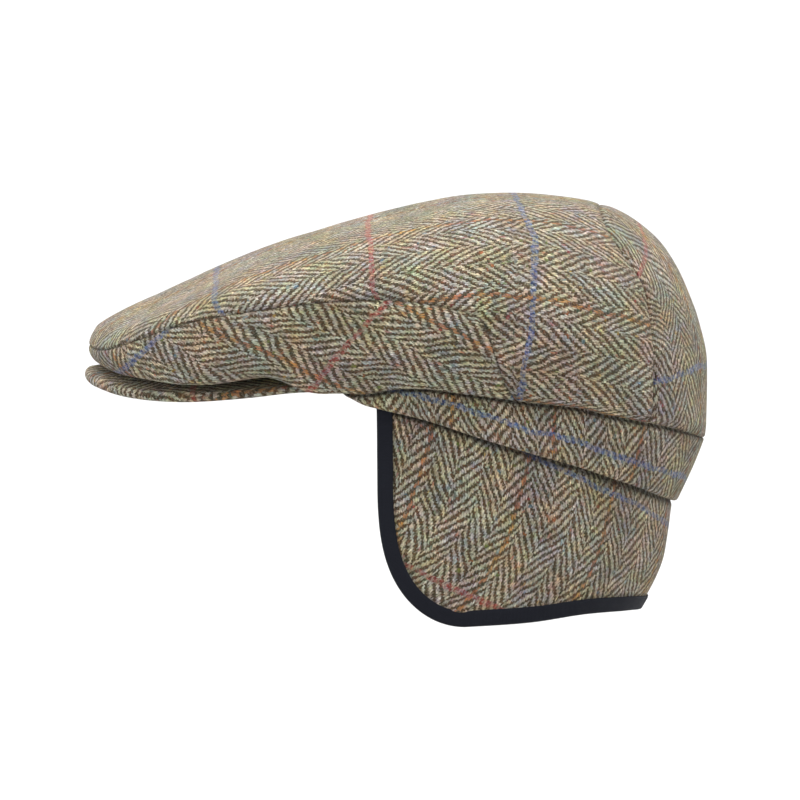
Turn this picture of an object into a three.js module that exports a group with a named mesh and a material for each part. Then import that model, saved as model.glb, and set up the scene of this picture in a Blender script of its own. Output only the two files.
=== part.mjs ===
// Earflap flat cap: a standalone three.js model.
// Millimetres, +Z up. The cap faces -Y and the wearer's left is +X.
// The origin is the middle of the head opening, where a head carries the cap.
import * as THREE from 'three';

// ---------------------------------------------------------------- driving sizes

const CLOTH = 2.0; // crown cloth with its seam allowance
const GAP = 0.4; // clearance between two pieces that touch
const SEAM_TRIM = 0.25; // each side of a seam is trimmed by this

// The oval that the head fills, seen from above.
const HEAD = { halfWidth: 81, front: -98, back: 109.5 };
const HEAD_MIDDLE = (HEAD.back + HEAD.front) / 2;
const HEAD_HALF_LENGTH = (HEAD.back - HEAD.front) / 2;

// Everything is placed by its angle round this upright axis: 0 is the front, 180 the back.
const AXIS_Y = 28;
const POLE_Z = 105.4;

const FLAP_THICK = 2.5;
const BAND_THICK = 2.5;
const BAND_TUCK = 6; // how far the band reaches up inside the crown
const BAND_INNER = FLAP_THICK + GAP; // offsets from the head oval
const BAND_OUTER = BAND_INNER + BAND_THICK;
const HEM_OUTER = BAND_OUTER + GAP + CLOTH;

// Outer face of the crown below the seam level, a row for each section.
// hemZ is the free edge, roll the lowest fold, belly the wall above it.
const LOWER_COLUMNS = ['angle', 'hemZ', 'rollR', 'rollZ', 'bellyR', 'bellyZ'];
const LOWER = table(LOWER_COLUMNS, [
  [0, 37.0, 179.0, 31.3, 184.4, 34.2],
  [15, 33.0, 170.5, 25.6, 176.0, 29.5],
  [30, 27.5, 145.0, 22.4, 151.5, 31.0],
  [38, 25.8, 124.5, 25.2, 135.0, 33.5],
  [43, 20.5, 115.5, 19.8, 125.0, 32.0],
  [55, 17.6, 104.5, 21.5, 111.5, 34.0],
  [66, 20.0, 98.5, 23.8, 103.8, 37.0],
  [90, 15.8, 90.8, 21.0, 95.2, 36.0],
  [120, 7.0, 88.8, 13.0, 91.2, 26.0],
  [150, 0.8, 89.4, 6.0, 89.8, 18.0],
  [180, -3.0, 89.4, 4.0, 89.5, 13.0],
]);

// Outer face above it: edge is the widest place, then brow, slope and dome up to the pole.
const UPPER_COLUMNS = ['angle', 'edgeR', 'edgeZ', 'browR', 'browZ', 'slopeR', 'slopeZ', 'domeR', 'domeZ'];
const UPPER = table(UPPER_COLUMNS, [
  [0, 185.6, 38.5, 182.0, 46.0, 150.0, 62.7, 88.0, 87.3],
  [15, 178.3, 36.8, 174.0, 43.6, 145.0, 60.5, 84.0, 87.6],
  [30, 153.8, 49.0, 149.4, 56.2, 124.0, 70.5, 72.0, 90.6],
  [45, 126.8, 56.0, 122.8, 64.2, 102.0, 78.5, 60.0, 94.0],
  [60, 110.4, 58.6, 106.8, 68.0, 89.0, 83.2, 52.0, 97.0],
  [90, 95.7, 51.0, 92.0, 68.0, 76.0, 86.5, 45.0, 99.5],
  [120, 91.4, 41.0, 87.0, 63.5, 71.0, 84.0, 43.0, 100.0],
  [150, 89.8, 32.0, 85.2, 56.0, 69.4, 82.6, 42.6, 100.5],
  [180, 89.2, 30.0, 84.7, 51.5, 69.0, 82.7, 42.5, 100.4],
]);

// The seams as places on the crown: rise counts the profile points from the hem (0) to the pole (7).
const POLE_RISE = 7;
const SIDE_SEAM = table(['angle', 'rise'], [
  [0, 3], [40, 3], [70, 3], [80, 2.98], [84, 2.9],
  [86.5, 2.48], [88, 1.95], [90.3, 1.26], [92.5, 0.45], [93.6, 0],
]);
const BACK_SEAM = table(['angle', 'rise'], [
  [136.4, 0], [136, 1.9], [136, 3.3], [136, 4.2], [134.4, 4.55], [133.4, 4.9],
  [134.4, 5.2], [139, 5.52], [147, 5.77], [158, 5.93], [180, 6.03],
]);

// The peak: turn 0 is the tip and 90 the corner at the temple.
const PEAK = {
  halfWidth: 71, rootY: -55, tipY: -158.5, fullness: 2.35, innerTurn: 54.6,
  thick: 5, cornerThick: 3.2, edgeRound: 1.4,
};
const PEAK_HEIGHT = table(['turn', 'outerZ', 'innerZ'], [
  [0, 26.0, 34.0], [20, 22.8, 32.5], [40, 18.8, 29.5], [60, 17.4, 26.0], [75, 19.3, 23.6], [90, 21.4, 21.4],
]);

// The band: bottomZ is its folded lower edge and lean its inward slope.
const BAND = table(['angle', 'bottomZ', 'lean'], [
  [53, 15.6, 0.10], [58, 11.8, 0.11], [66, 8.6, 0.12], [85, -1.0, 0.15], [100, -7.3, 0.19],
  [115, -13.3, 0.25], [130, -20.2, 0.31], [155, -28.4, 0.36], [180, -31.5, 0.37],
]);

// The flap: how far it lies inside the band's inner line, from its top down to its bottom.
const FLAP_INSET = table(['angle', 'top', 'band', 'middle', 'bottom'], [
  [54, 1.6, 2.0, 2.8, 5.0], [80, 0.6, 3.7, 4.6, 7.5], [110, 0.7, 6.4, 8.2, 12.0],
  [145, 0.9, 10.7, 12.6, 18.5], [180, 1.0, 12.0, 13.8, 22.7],
]);
const FLAP = {
  frontAngle: 54.8, cornerZ: -18, cornerSpan: 23, cornerPower: 1.35, topDrop: 2, middle: 0.68, levelZ: -79,
};
const FLAP_BOTTOM = table(['angle', 'z'], [
  [77.8, -81.0], [100, -79.6], [120, -77.4], [150, -77.4], [180, -78.6],
]);

const BINDING = { width: 7.2, lift: 0.9, round: 1.2, underBand: 1.0 };

// ---------------------------------------------------------------- curves through tables

function table(columns, rows) {
  return rows.map((row) => Object.fromEntries(columns.map((name, index) => [name, row[index]])));
}

// A smooth curve through one column; level at the ends where the cap is mirrored.
function column(rows, key, name, at, slopeOf = mirroredSlope) {
  const x = THREE.MathUtils.clamp(Math.abs(at), rows[0][key], rows[rows.length - 1][key]);
  let i = 0;
  while (i < rows.length - 2 && x > rows[i + 1][key]) i += 1;
  const step = rows[i + 1][key] - rows[i][key];
  const a = slopeOf(rows, key, name, i) * step;
  const b = slopeOf(rows, key, name, i + 1) * step;
  return cubic(rows[i][name], rows[i + 1][name], a, b, (x - rows[i][key]) / step);
}

function riseOver(rows, key, name, i) {
  return (rows[i + 1][name] - rows[i][name]) / (rows[i + 1][key] - rows[i][key]);
}

function mirroredSlope(rows, key, name, i) {
  if (i === 0 || i === rows.length - 1) return 0;
  const before = rows[i][key] - rows[i - 1][key];
  const after = rows[i + 1][key] - rows[i][key];
  return (riseOver(rows, key, name, i - 1) * after + riseOver(rows, key, name, i) * before) / (before + after);
}

// The same for a strip with free ends, which starts straight.
function freeSlope(rows, key, name, i) {
  return i === 0 ? riseOver(rows, key, name, 0) : mirroredSlope(rows, key, name, i);
}

// Slopes that never overshoot a row, for the seams.
function seamSlope(rows, key, name, i) {
  if (i === 0 || i === rows.length - 1) return riseOver(rows, key, name, Math.min(i, rows.length - 2));
  return calmSlope(riseOver(rows, key, name, i - 1), riseOver(rows, key, name, i));
}

function cubic(p, q, a, b, u) {
  const v = 1 - u;
  return (1 + 2 * u) * v * v * p + u * v * v * a + u * u * (3 - 2 * u) * q - u * u * v * b;
}

function calmSlope(before, after) {
  return before * after <= 0 ? 0 : (2 * before * after) / (before + after);
}

function polar(degrees, radius, z) {
  const angle = THREE.MathUtils.degToRad(degrees);
  return new THREE.Vector3(radius * Math.sin(angle), AXIS_Y - radius * Math.cos(angle), z);
}

// Distance from the axis to the head oval, grown outward.
function headRadius(degrees, grow) {
  const angle = THREE.MathUtils.degToRad(degrees);
  const a = HEAD.halfWidth + grow;
  const b = HEAD_HALF_LENGTH + grow;
  const shift = AXIS_Y - HEAD_MIDDLE;
  const sine = Math.sin(angle);
  const cosine = Math.cos(angle);
  const square = (sine / a) ** 2 + (cosine / b) ** 2;
  const linear = (-2 * shift * cosine) / b ** 2;
  const rest = (shift / b) ** 2 - 1;
  return (-linear + Math.sqrt(linear * linear - 4 * square * rest)) / (2 * square);
}

const hemZ = (degrees) => column(LOWER, 'angle', 'hemZ', degrees);

// ---------------------------------------------------------------- the crown's surface

// The profile at one angle: radius and height of the outer face from the hem to the pole.
function profilePoints(degrees) {
  const low = (name) => column(LOWER, 'angle', name, degrees);
  const up = (name) => column(UPPER, 'angle', name, degrees);
  const onHead = THREE.MathUtils.smoothstep(Math.abs(degrees), 40, 52);
  const hemR = headRadius(degrees, THREE.MathUtils.lerp(1, HEM_OUTER, onHead));
  return {
    radius: [hemR, low('rollR'), low('bellyR'), up('edgeR'), up('browR'), up('slopeR'), up('domeR'), 0],
    height: [low('hemZ'), low('rollZ'), low('bellyZ'), up('edgeZ'), up('browZ'), up('slopeZ'), up('domeZ'), POLE_Z],
  };
}

function alongProfile(values, rise, poleSlope) {
  const i = THREE.MathUtils.clamp(Math.floor(rise), 0, POLE_RISE - 1);
  const u = rise - i;
  if (i === 0) return THREE.MathUtils.lerp(values[0], values[1], u);
  const slope = (j) => calmSlope(values[j] - values[j - 1], values[j + 1] - values[j]);
  const last = i + 1 === POLE_RISE ? poleSlope(slope(i)) : slope(i + 1);
  return cubic(values[i], values[i + 1], slope(i), last, u);
}

function crownPoint(degrees, rise) {
  const { radius, height } = profilePoints(degrees);
  const reach = radius[POLE_RISE] - radius[POLE_RISE - 1];
  const r = alongProfile(radius, rise, (slope) => 1.5 * reach - 0.5 * slope);
  const z = alongProfile(height, rise, () => 0);
  return polar(degrees, r, z);
}

// The crown laid out as a disc: the pole in the middle and the hem at radius 1.
const onDisc = (degrees, rise) => {
  const angle = THREE.MathUtils.degToRad(degrees);
  const radius = 1 - rise / POLE_RISE;
  return new THREE.Vector2(radius * Math.sin(angle), -radius * Math.cos(angle));
};

function fromDisc(spot) {
  const degrees = THREE.MathUtils.radToDeg(Math.atan2(spot.x, -spot.y));
  return crownPoint(degrees, POLE_RISE * (1 - spot.length()));
}

// Outer and inner face of the cloth at one spot of the disc.
function crownCloth(spot) {
  const reach = 0.004;
  const move = (dx, dy) => fromDisc(new THREE.Vector2(spot.x + dx, spot.y + dy));
  const alongX = move(reach, 0).sub(move(-reach, 0));
  const alongY = move(0, reach).sub(move(0, -reach));
  const normal = alongX.cross(alongY).normalize();
  const outer = fromDisc(spot);
  return { outer, inner: outer.clone().addScaledVector(normal, -CLOTH), normal };
}

// ---------------------------------------------------------------- meshes

// One closed body from two matching grids of points. Spots of a grid that coincide are welded,
// and a wall joins the two faces along every edge that stays free.
function shell(outer, inner) {
  const columns = outer[0].length;
  const spots = outer.flat();
  const places = new Map();
  const weld = spots.map((spot, index) => {
    const key = spot.toArray().map((value) => Math.round(value * 100) + 0).join();
    if (!places.has(key)) places.set(key, index);
    return places.get(key);
  });
  const faces = [];
  for (let at = 0; at < spots.length - columns; at += 1) {
    if (at % columns === columns - 1) continue;
    const quad = [at, at + 1, at + columns + 1, at + columns].map((index) => weld[index]);
    const triangles = [];
    pushQuad(triangles, quad);
    faces.push(...triangles.filter((face) => new Set(face).size === 3));
  }
  const edges = faces.flatMap(([a, b, c]) => [[a, b], [b, c], [c, a]]);
  const known = new Set(edges.map((edge) => edge.join()));
  const free = edges.filter(([a, b]) => !known.has([b, a].join()));
  const below = (index) => index + spots.length;
  const back = faces.map(([a, b, c]) => [below(a), below(c), below(b)]);
  const walls = [];
  free.forEach(([a, b]) => pushQuad(walls, [b, a, below(a), below(b)]));
  return geometry([...spots, ...inner.flat()], [...faces, ...back, ...walls]);
}

// The faces between a row of closed sections.
function sweep(sections) {
  const count = sections[0].length;
  const faces = [];
  for (let s = 0; s < sections.length - 1; s += 1) {
    for (let k = 0; k < count; k += 1) {
      const next = (k + 1) % count;
      pushQuad(faces, [s * count + k, s * count + next, (s + 1) * count + next, (s + 1) * count + k]);
    }
  }
  return { faces, count };
}

// One closed body from a row of closed sections, with flat ends.
function capped(sections, outline) {
  const { faces, count } = sweep(sections);
  const last = (sections.length - 1) * count;
  endTriangles(outline).forEach(([a, b, c]) => faces.push([c, b, a], [last + a, last + b, last + c]));
  return geometry(sections.flat(), faces);
}

// Triangles over an outline, each running the same way round as the outline itself.
function endTriangles(outline) {
  const area = (spots) => Math.sign(THREE.ShapeUtils.area(spots));
  const way = area(outline);
  return THREE.ShapeUtils.triangulateShape(outline, []).map(([a, b, c]) => (
    area([outline[a], outline[b], outline[c]]) === way ? [a, b, c] : [a, c, b]
  ));
}

function pushQuad(faces, [a, b, c, d]) {
  faces.push([a, b, c], [a, c, d]);
}

// Makes the geometry with its faces turned outward.
function geometry(points, faces) {
  const sixfold = ([a, b, c]) => points[a].dot(points[b].clone().cross(points[c]));
  const volume = faces.reduce((sum, face) => sum + sixfold(face), 0);
  const turned = volume < 0 ? faces.map(([a, b, c]) => [a, c, b]) : faces;
  const made = new THREE.BufferGeometry();
  made.setAttribute('position', new THREE.Float32BufferAttribute(points.flatMap((p) => p.toArray()), 3));
  made.setIndex(turned.flat());
  made.computeVertexNormals();
  return made;
}

function steps(count, from = 0, to = 1) {
  return Array.from({ length: count + 1 }, (_, i) => from + ((to - from) * i) / count);
}

// Cloth over a grid of spots, trimmed a little on the edges that meet a seam.
function clothOver(spots, trimmed) {
  const cloth = spots.map((row) => row.map(crownCloth));
  ['outer', 'inner'].forEach((side) => trimmed.forEach((edge) => trimEdge(cloth, side, edge)));
  const face = (side) => cloth.map((row) => row.map((spot) => spot[side]));
  return shell(face('outer'), face('inner'));
}

// Moves one edge of the cloth square to itself, into the piece.
function trimEdge(cloth, side, edge) {
  const rows = cloth.length - 1;
  const columns = cloth[0].length - 1;
  const pairs = {
    front: () => cloth[0].map((spot, col) => [spot, cloth[1][col]]),
    back: () => cloth[rows].map((spot, col) => [spot, cloth[rows - 1][col]]),
    left: () => cloth.map((row) => [row[0], row[1]]),
    right: () => cloth.map((row) => [row[columns], row[columns - 1]]),
  }[edge]();
  const line = pairs.map(([spot]) => spot[side].clone());
  const ways = pairs.map(([spot], i) => {
    const tangent = line[Math.min(i + 1, line.length - 1)].clone().sub(line[Math.max(i - 1, 0)]);
    return spot.normal.clone().cross(tangent).normalize();
  });
  const agree = ways.reduce((sum, way, i) => sum + way.dot(pairs[i][1][side].clone().sub(line[i])), 0);
  pairs.forEach(([spot], i) => spot[side].addScaledVector(ways[i], Math.sign(agree) * SEAM_TRIM));
}

// ---------------------------------------------------------------- crown panels

const sideSeamRise = (degrees) => column(SIDE_SEAM, 'angle', 'rise', degrees, seamSlope);
const backSeamAngle = (rise) => column(BACK_SEAM, 'rise', 'angle', rise, seamSlope);
const SEAM_FOOT = BACK_SEAM[0].angle;
const SEAM_HEAD = BACK_SEAM[BACK_SEAM.length - 1].rise;

// Both panels beside a seam are cut at the same places along it.
const SIDE_CUTS = [...steps(19, 0, 84), 85.4, 86.5, 88, 89.2, 90.3, 91.4, 92.5, 93.2];
const BACK_CUTS = [0, 1, 1.9, 2.6, 3.3, 3.8, 4.2, 4.55, 4.9, 5.2, 5.52, 5.77, 5.93, 5.99, SEAM_HEAD];

// The top panel runs from the seams up to the pole and closes behind the arch of the back seam.
function topPanel() {
  const half = [...SIDE_CUTS, ...steps(6, 99, SEAM_FOOT)];
  const columns = [...half.slice(1).reverse().map((angle) => -angle), ...half];
  const rises = [...BACK_CUTS, 6.45, POLE_RISE];
  const spots = rises.map((level) => columns.map((angle) => {
    const foot = sideSeamRise(angle);
    const rise = THREE.MathUtils.lerp(foot, POLE_RISE, level / POLE_RISE);
    const pull = THREE.MathUtils.smoothstep(Math.abs(angle), 80, SEAM_FOOT);
    const turned = Math.abs(angle) + (backSeamAngle(Math.min(rise, SEAM_HEAD)) - SEAM_FOOT) * pull;
    return onDisc(Math.sign(angle) * turned, rise);
  }));
  return clothOver(spots, ['front']);
}

function sidePanel(side) {
  const middleGap = 0.13;
  const columns = [middleGap, ...SIDE_CUTS.slice(1)];
  const shares = [0, 0.17, 0.33, 0.43, 0.55, 0.68, 0.84, 1];
  const spots = shares.map((share) => columns.map((a) => onDisc(side * a, share * sideSeamRise(a))));
  return clothOver(spots, ['back']);
}

function backPanel() {
  const half = 7;
  const headGap = 0.9985; // keeps the head of the arch clear of the top panel
  const spots = BACK_CUTS.map((rise) => steps(2 * half, -1, 1).map((share) => {
    const edge = backSeamAngle(rise);
    return onDisc(180 - share * (180 - edge), rise * headGap);
  }));
  return clothOver(spots, ['left', 'right']);
}

// ---------------------------------------------------------------- peak

function peakSection(turn) {
  const angle = THREE.MathUtils.degToRad(turn);
  const height = (name) => column(PEAK_HEIGHT, 'turn', name, turn);
  const reach = PEAK.tipY - PEAK.rootY;
  const along = Math.max(0, Math.cos(angle));
  const across = (1 - along ** PEAK.fullness) ** (1 / PEAK.fullness) * Math.sign(turn);
  const outer = new THREE.Vector3(PEAK.halfWidth * across, PEAK.rootY + reach * along, height('outerZ'));
  const innerAngle = (angle * PEAK.innerTurn) / 90;
  const inner = new THREE.Vector3(
    HEAD.halfWidth * Math.sin(innerAngle),
    HEAD_MIDDLE - HEAD_HALF_LENGTH * Math.cos(innerAngle),
    height('innerZ'),
  );
  const half = THREE.MathUtils.lerp(PEAK.thick, PEAK.cornerThick, (turn / 90) ** 2) / 2;
  const length = inner.distanceTo(outer);
  const round = Math.min(PEAK.edgeRound, length / 3);
  return { inner, outer, half, length, round };
}

// Points round one section, as distance in from the outer edge and height off the middle.
function peakOutline({ half, length, round }) {
  return [
    [length, half], [length * 0.6, half], [length * 0.3, half], [round, half], [0.25 * round, half * 0.55],
    [0.25 * round, -half * 0.55], [round, -half], [length * 0.4, -half], [length, -half],
  ];
}

function peak() {
  const sections = steps(40, -90, 90).map((turn) => {
    const section = peakSection(turn);
    return peakOutline(section).map(([inward, lift]) => {
      const point = section.outer.clone().lerp(section.inner, inward / section.length);
      return point.add(new THREE.Vector3(0, 0, lift));
    });
  });
  // The end faces are cut on a slightly bulged outline, so that no three points lie in line.
  const bulge = (x) => 1 - 0.02 * (x - 2) ** 2;
  const flat = peakOutline({ half: 1, length: 4, round: 1 });
  const outline = flat.map(([x, y]) => new THREE.Vector2(x, y * bulge(x)));
  return capped(sections, outline);
}

// ---------------------------------------------------------------- band, flap and binding

const bandBottom = (degrees) => column(BAND, 'angle', 'bottomZ', degrees, freeSlope);

function bandRadius(degrees, z, offset) {
  const lean = column(BAND, 'angle', 'lean', degrees, freeSlope);
  return headRadius(degrees, offset) - lean * Math.max(0, hemZ(degrees) - z);
}

function band() {
  const end = BAND[0].angle;
  const fold = 0.8;
  const sections = steps(52, -(360 - 2 * end) / 2, (360 - 2 * end) / 2).map((turn) => {
    const degrees = 180 + turn;
    const signed = degrees > 180 ? degrees - 360 : degrees;
    const top = hemZ(signed) + BAND_TUCK;
    const bottom = bandBottom(signed);
    const at = (z, offset) => polar(signed, bandRadius(signed, z, offset), z);
    return [
      at(top, BAND_OUTER), at(hemZ(signed), BAND_OUTER), at((hemZ(signed) + bottom) / 2, BAND_OUTER),
      at(bottom + fold, BAND_OUTER), at(bottom, BAND_OUTER - fold), at(bottom, BAND_INNER + fold),
      at(bottom + fold, BAND_INNER), at(hemZ(signed), BAND_INNER), at(top, BAND_INNER),
    ];
  });
  const outline = [[4, 9], [4.6, 6], [4.8, 4], [4.6, 1], [4, 0], [2, 0], [1.4, 1], [1.2, 5], [1.8, 9]];
  return capped(sections, outline.map(([x, y]) => new THREE.Vector2(x, y)));
}

// How far the flap's outer face lies inside its top line.
function flapInset(degrees, z) {
  const top = hemZ(degrees) - FLAP.topDrop;
  const drop = (height) => THREE.MathUtils.clamp((top - height) / (top - FLAP.levelZ), 0, 1);
  const bandDrop = Math.max(0.06, drop(bandBottom(degrees)));
  const knots = [0, bandDrop, Math.max(FLAP.middle, bandDrop + 0.2), 1];
  const inset = (name) => column(FLAP_INSET, 'angle', name, degrees, freeSlope);
  const values = [inset('top'), inset('band'), inset('middle'), inset('bottom')];
  const rise = (i) => (values[i + 1] - values[i]) / (knots[i + 1] - knots[i]);
  const slopes = [rise(0), calmSlope(rise(0), rise(1)), calmSlope(rise(1), rise(2))];
  slopes.push(1.5 * rise(2) - 0.5 * slopes[2]);
  const f = drop(z);
  let i = 0;
  while (i < 2 && f > knots[i + 1]) i += 1;
  const step = knots[i + 1] - knots[i];
  return cubic(values[i], values[i + 1], slopes[i] * step, slopes[i + 1] * step, (f - knots[i]) / step);
}

function flapPoint({ degrees, z }, depth = 0) {
  return polar(degrees, headRadius(degrees, FLAP_THICK - depth) - flapInset(degrees, z), z);
}

// The flap's finished outline on the left: 0 to 1 down the front, to 2 round the corner, to 3 at the back.
function flapOutline(u) {
  const cornerEnd = FLAP.frontAngle + FLAP.cornerSpan;
  const bottom = (degrees) => column(FLAP_BOTTOM, 'angle', 'z', degrees, freeSlope);
  if (u < 1) {
    const start = bandBottom(FLAP.frontAngle) + BINDING.underBand;
    return { degrees: FLAP.frontAngle, z: THREE.MathUtils.lerp(start, FLAP.cornerZ, u) };
  }
  if (u < 2) {
    const angle = ((u - 1) * Math.PI) / 2;
    return {
      degrees: FLAP.frontAngle + FLAP.cornerSpan * (1 - Math.cos(angle)) ** FLAP.cornerPower,
      z: THREE.MathUtils.lerp(FLAP.cornerZ, bottom(cornerEnd), Math.sin(angle)),
    };
  }
  const degrees = THREE.MathUtils.lerp(cornerEnd, 180, u - 2);
  return { degrees, z: bottom(degrees) };
}

// A frame on the outline: the point, the way into the flap and the outward normal.
function flapFrame(u) {
  const reach = 0.01;
  const here = flapOutline(u);
  const point = flapPoint(here, FLAP_THICK / 2);
  const tangent = flapPoint(flapOutline(Math.min(3, u + reach)), FLAP_THICK / 2)
    .sub(flapPoint(flapOutline(Math.max(0, u - reach)), FLAP_THICK / 2)).normalize();
  const up = flapPoint({ degrees: here.degrees, z: here.z + 2 }, FLAP_THICK / 2).sub(point).normalize();
  const round = flapPoint({ degrees: here.degrees + 1, z: here.z }, FLAP_THICK / 2).sub(point).normalize();
  const normal = round.clone().cross(up).normalize();
  if (normal.dot(new THREE.Vector3(point.x, point.y - AXIS_Y, 0)) < 0) normal.negate();
  const inward = tangent.clone().cross(normal).normalize();
  if (inward.dot(u < 1.3 ? round : up) < 0) inward.negate();
  return { point, inward, normal };
}

const OUTLINE_STEPS = [...steps(5, 0, 1), ...steps(12, 1, 2).slice(1), ...steps(18, 2, 3).slice(1)];
const acrossX = (point) => new THREE.Vector3(-point.x, point.y, point.z);

function mirrorRow(row) {
  return [...row, ...row.slice(0, -1).reverse().map((points) => points.map(acrossX))];
}

function flapBinding() {
  const out = FLAP_THICK / 2 + BINDING.lift;
  const edge = out - BINDING.round;
  const lip = out - 0.4;
  const outline = [
    [BINDING.width, lip], [BINDING.round, out], [0, edge],
    [0, -edge], [BINDING.round, -out], [BINDING.width, -lip],
  ];
  const row = OUTLINE_STEPS.map((u) => {
    const { point, inward, normal } = flapFrame(u);
    return outline.map(([a, b]) => point.clone().addScaledVector(inward, a).addScaledVector(normal, b));
  });
  return capped(mirrorRow(row), outline.map(([x, y]) => new THREE.Vector2(x, y)));
}

// The flap's cloth, ruled from its bound edge up to the line where the band holds it.
function neckFlap() {
  const half = OUTLINE_STEPS.map((u) => {
    const { point, inward, normal } = flapFrame(u);
    const edge = point.clone().addScaledVector(inward, BINDING.width + GAP);
    const start = flapAngle(flapFrame(0).point) + 4.9;
    const topAngle = THREE.MathUtils.lerp(start, 180, (u / 3) ** 1.4);
    return steps(6).map((share) => flapPair(edge, normal, topAngle, share));
  });
  const whole = [...half, ...half.slice(0, -1).reverse().map((row) => row.map(({ outer, inner }) => (
    { outer: acrossX(outer), inner: acrossX(inner) }
  )))];
  return shell(whole.map((row) => row.map((p) => p.outer)), whole.map((row) => row.map((p) => p.inner)));
}

const flapAngle = (point) => THREE.MathUtils.radToDeg(Math.atan2(Math.abs(point.x), AXIS_Y - point.y));

// Outer and inner face of the flap: share 0 is its bound edge and 1 its top.
function flapPair(edge, normal, topAngle, share) {
  if (share === 0) {
    return {
      outer: edge.clone().addScaledVector(normal, FLAP_THICK / 2),
      inner: edge.clone().addScaledVector(normal, -FLAP_THICK / 2),
    };
  }
  const degrees = THREE.MathUtils.lerp(flapAngle(edge), topAngle, share);
  const z = THREE.MathUtils.lerp(edge.z, hemZ(degrees) - FLAP.topDrop, share);
  return { outer: flapPoint({ degrees, z }), inner: flapPoint({ degrees, z }, FLAP_THICK) };
}

// ---------------------------------------------------------------- the cap

const TWEED = new THREE.MeshStandardMaterial({ color: 0x8b7f69, roughness: 0.95, metalness: 0 });
const TAPE = new THREE.MeshStandardMaterial({ color: 0x23262f, roughness: 0.7, metalness: 0 });

function piece(name, shape, material) {
  const mesh = new THREE.Mesh(shape, material.clone());
  mesh.name = name;
  return mesh;
}

const cap = new THREE.Group();
cap.add(
  piece('top_panel', topPanel(), TWEED),
  piece('side_panel_left', sidePanel(1), TWEED),
  piece('side_panel_right', sidePanel(-1), TWEED),
  piece('back_panel', backPanel(), TWEED),
  piece('peak', peak(), TWEED),
  piece('band', band(), TWEED),
  piece('neck_flap', neckFlap(), TWEED),
  piece('flap_binding', flapBinding(), TAPE),
);

export default cap;
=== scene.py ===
"""Earflap flat cap: the looks of the finished cap.

The cap faces -Y and the wearer's left is +X. Sizes are in millimetres, and a mesh is scaled to
metres when it is made. Places on the crown are given by an angle round an upright axis (0 at the
front, 180 at the back) and by a rise, which counts the profile's points from the hem to the pole.
"""

import logging
import math
from dataclasses import dataclass, field
from enum import Enum
from typing import Callable, Sequence

import bmesh
import bpy
import numpy as np
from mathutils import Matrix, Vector, geometry, kdtree, noise


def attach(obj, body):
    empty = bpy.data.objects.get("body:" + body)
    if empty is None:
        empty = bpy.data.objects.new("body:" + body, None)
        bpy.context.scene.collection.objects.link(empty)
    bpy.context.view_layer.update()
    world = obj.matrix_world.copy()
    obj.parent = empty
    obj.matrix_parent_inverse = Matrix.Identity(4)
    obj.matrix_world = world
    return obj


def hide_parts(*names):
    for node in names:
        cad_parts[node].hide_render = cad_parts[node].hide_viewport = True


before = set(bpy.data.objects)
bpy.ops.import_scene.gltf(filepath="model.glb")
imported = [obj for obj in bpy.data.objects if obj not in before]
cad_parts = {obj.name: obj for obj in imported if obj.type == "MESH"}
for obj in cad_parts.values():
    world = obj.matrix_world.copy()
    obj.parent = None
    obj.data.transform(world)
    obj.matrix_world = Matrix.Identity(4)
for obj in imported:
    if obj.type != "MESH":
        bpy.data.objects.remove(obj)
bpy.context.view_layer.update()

LOG = logging.getLogger("earflap_cap")
MM = 0.001
MIRRORED = np.array([-1, 1, 1])
Array = np.ndarray
Socket = bpy.types.NodeSocket

# ---------------------------------------------------------------- curves through short tables


class Ends(Enum):
    """How a curve through a table behaves at its rows."""

    LEVEL = "level at both ends, where the cap is mirrored"
    FREE = "straight at the first row and level at the last"
    CALM = "never past a row, for seams"


def calm(before: Array, after: Array) -> Array:
    """Slope at a knot that never overshoots it.

    Args:
        before: Rise to the knot.
        after: Rise from the knot.

    Returns:
        The harmonic mean of the two, or 0 where they disagree in sign.
    """
    agree = before * after > 0
    total = np.where(agree, before + after, 1.0)
    return np.where(agree, 2 * before * after / total, 0.0)


def cubic(start: Array, end: Array, slope_in: Array, slope_out: Array, share: Array) -> Array:
    """Cubic between two values with given slopes.

    Args:
        start: Value at share 0.
        end: Value at share 1.
        slope_in: Slope at share 0.
        slope_out: Slope at share 1.
        share: Where to read the curve.

    Returns:
        The values read.
    """
    rest = 1 - share
    near = (1 + 2 * share) * rest * rest * start + share * rest * rest * slope_in
    return near + share * share * (3 - 2 * share) * end - share * share * rest * slope_out


@dataclass(frozen=True)
class Rows:
    """A short table of sections, read as smooth curves over its first column."""

    columns: tuple[str, ...]
    rows: tuple[tuple[float, ...], ...]

    def column(self, name: str) -> Array:
        """All values of one column."""
        return np.array([row[self.columns.index(name)] for row in self.rows], float)

    def curve(self, name: str, at: Array, ends: Ends = Ends.LEVEL, key: str = "") -> Array:
        """Reads a smooth curve through one column.

        Args:
            name: The column read.
            at: Places along the key column; their sign is dropped.
            ends: How the curve behaves at its rows.
            key: The column to read along, the first one if empty.

        Returns:
            The curve's values.
        """
        knots = self.column(key or self.columns[0])
        values = self.column(name)
        steps = np.diff(knots)
        rises = np.diff(values) / steps
        slopes = np.zeros(len(knots))
        if ends is Ends.CALM:
            slopes[1:-1] = calm(rises[:-1], rises[1:])
            slopes[0], slopes[-1] = rises[0], rises[-1]
        else:
            slopes[1:-1] = (rises[:-1] * steps[1:] + rises[1:] * steps[:-1]) / (steps[1:] + steps[:-1])
            slopes[0] = rises[0] if ends is Ends.FREE else 0.0
        place = np.clip(np.abs(at), knots[0], knots[-1])
        i = np.clip(np.searchsorted(knots, place, side="right") - 1, 0, len(steps) - 1)
        share = (place - knots[i]) / steps[i]
        return cubic(values[i], values[i + 1], slopes[i] * steps[i], slopes[i + 1] * steps[i], share)


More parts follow.
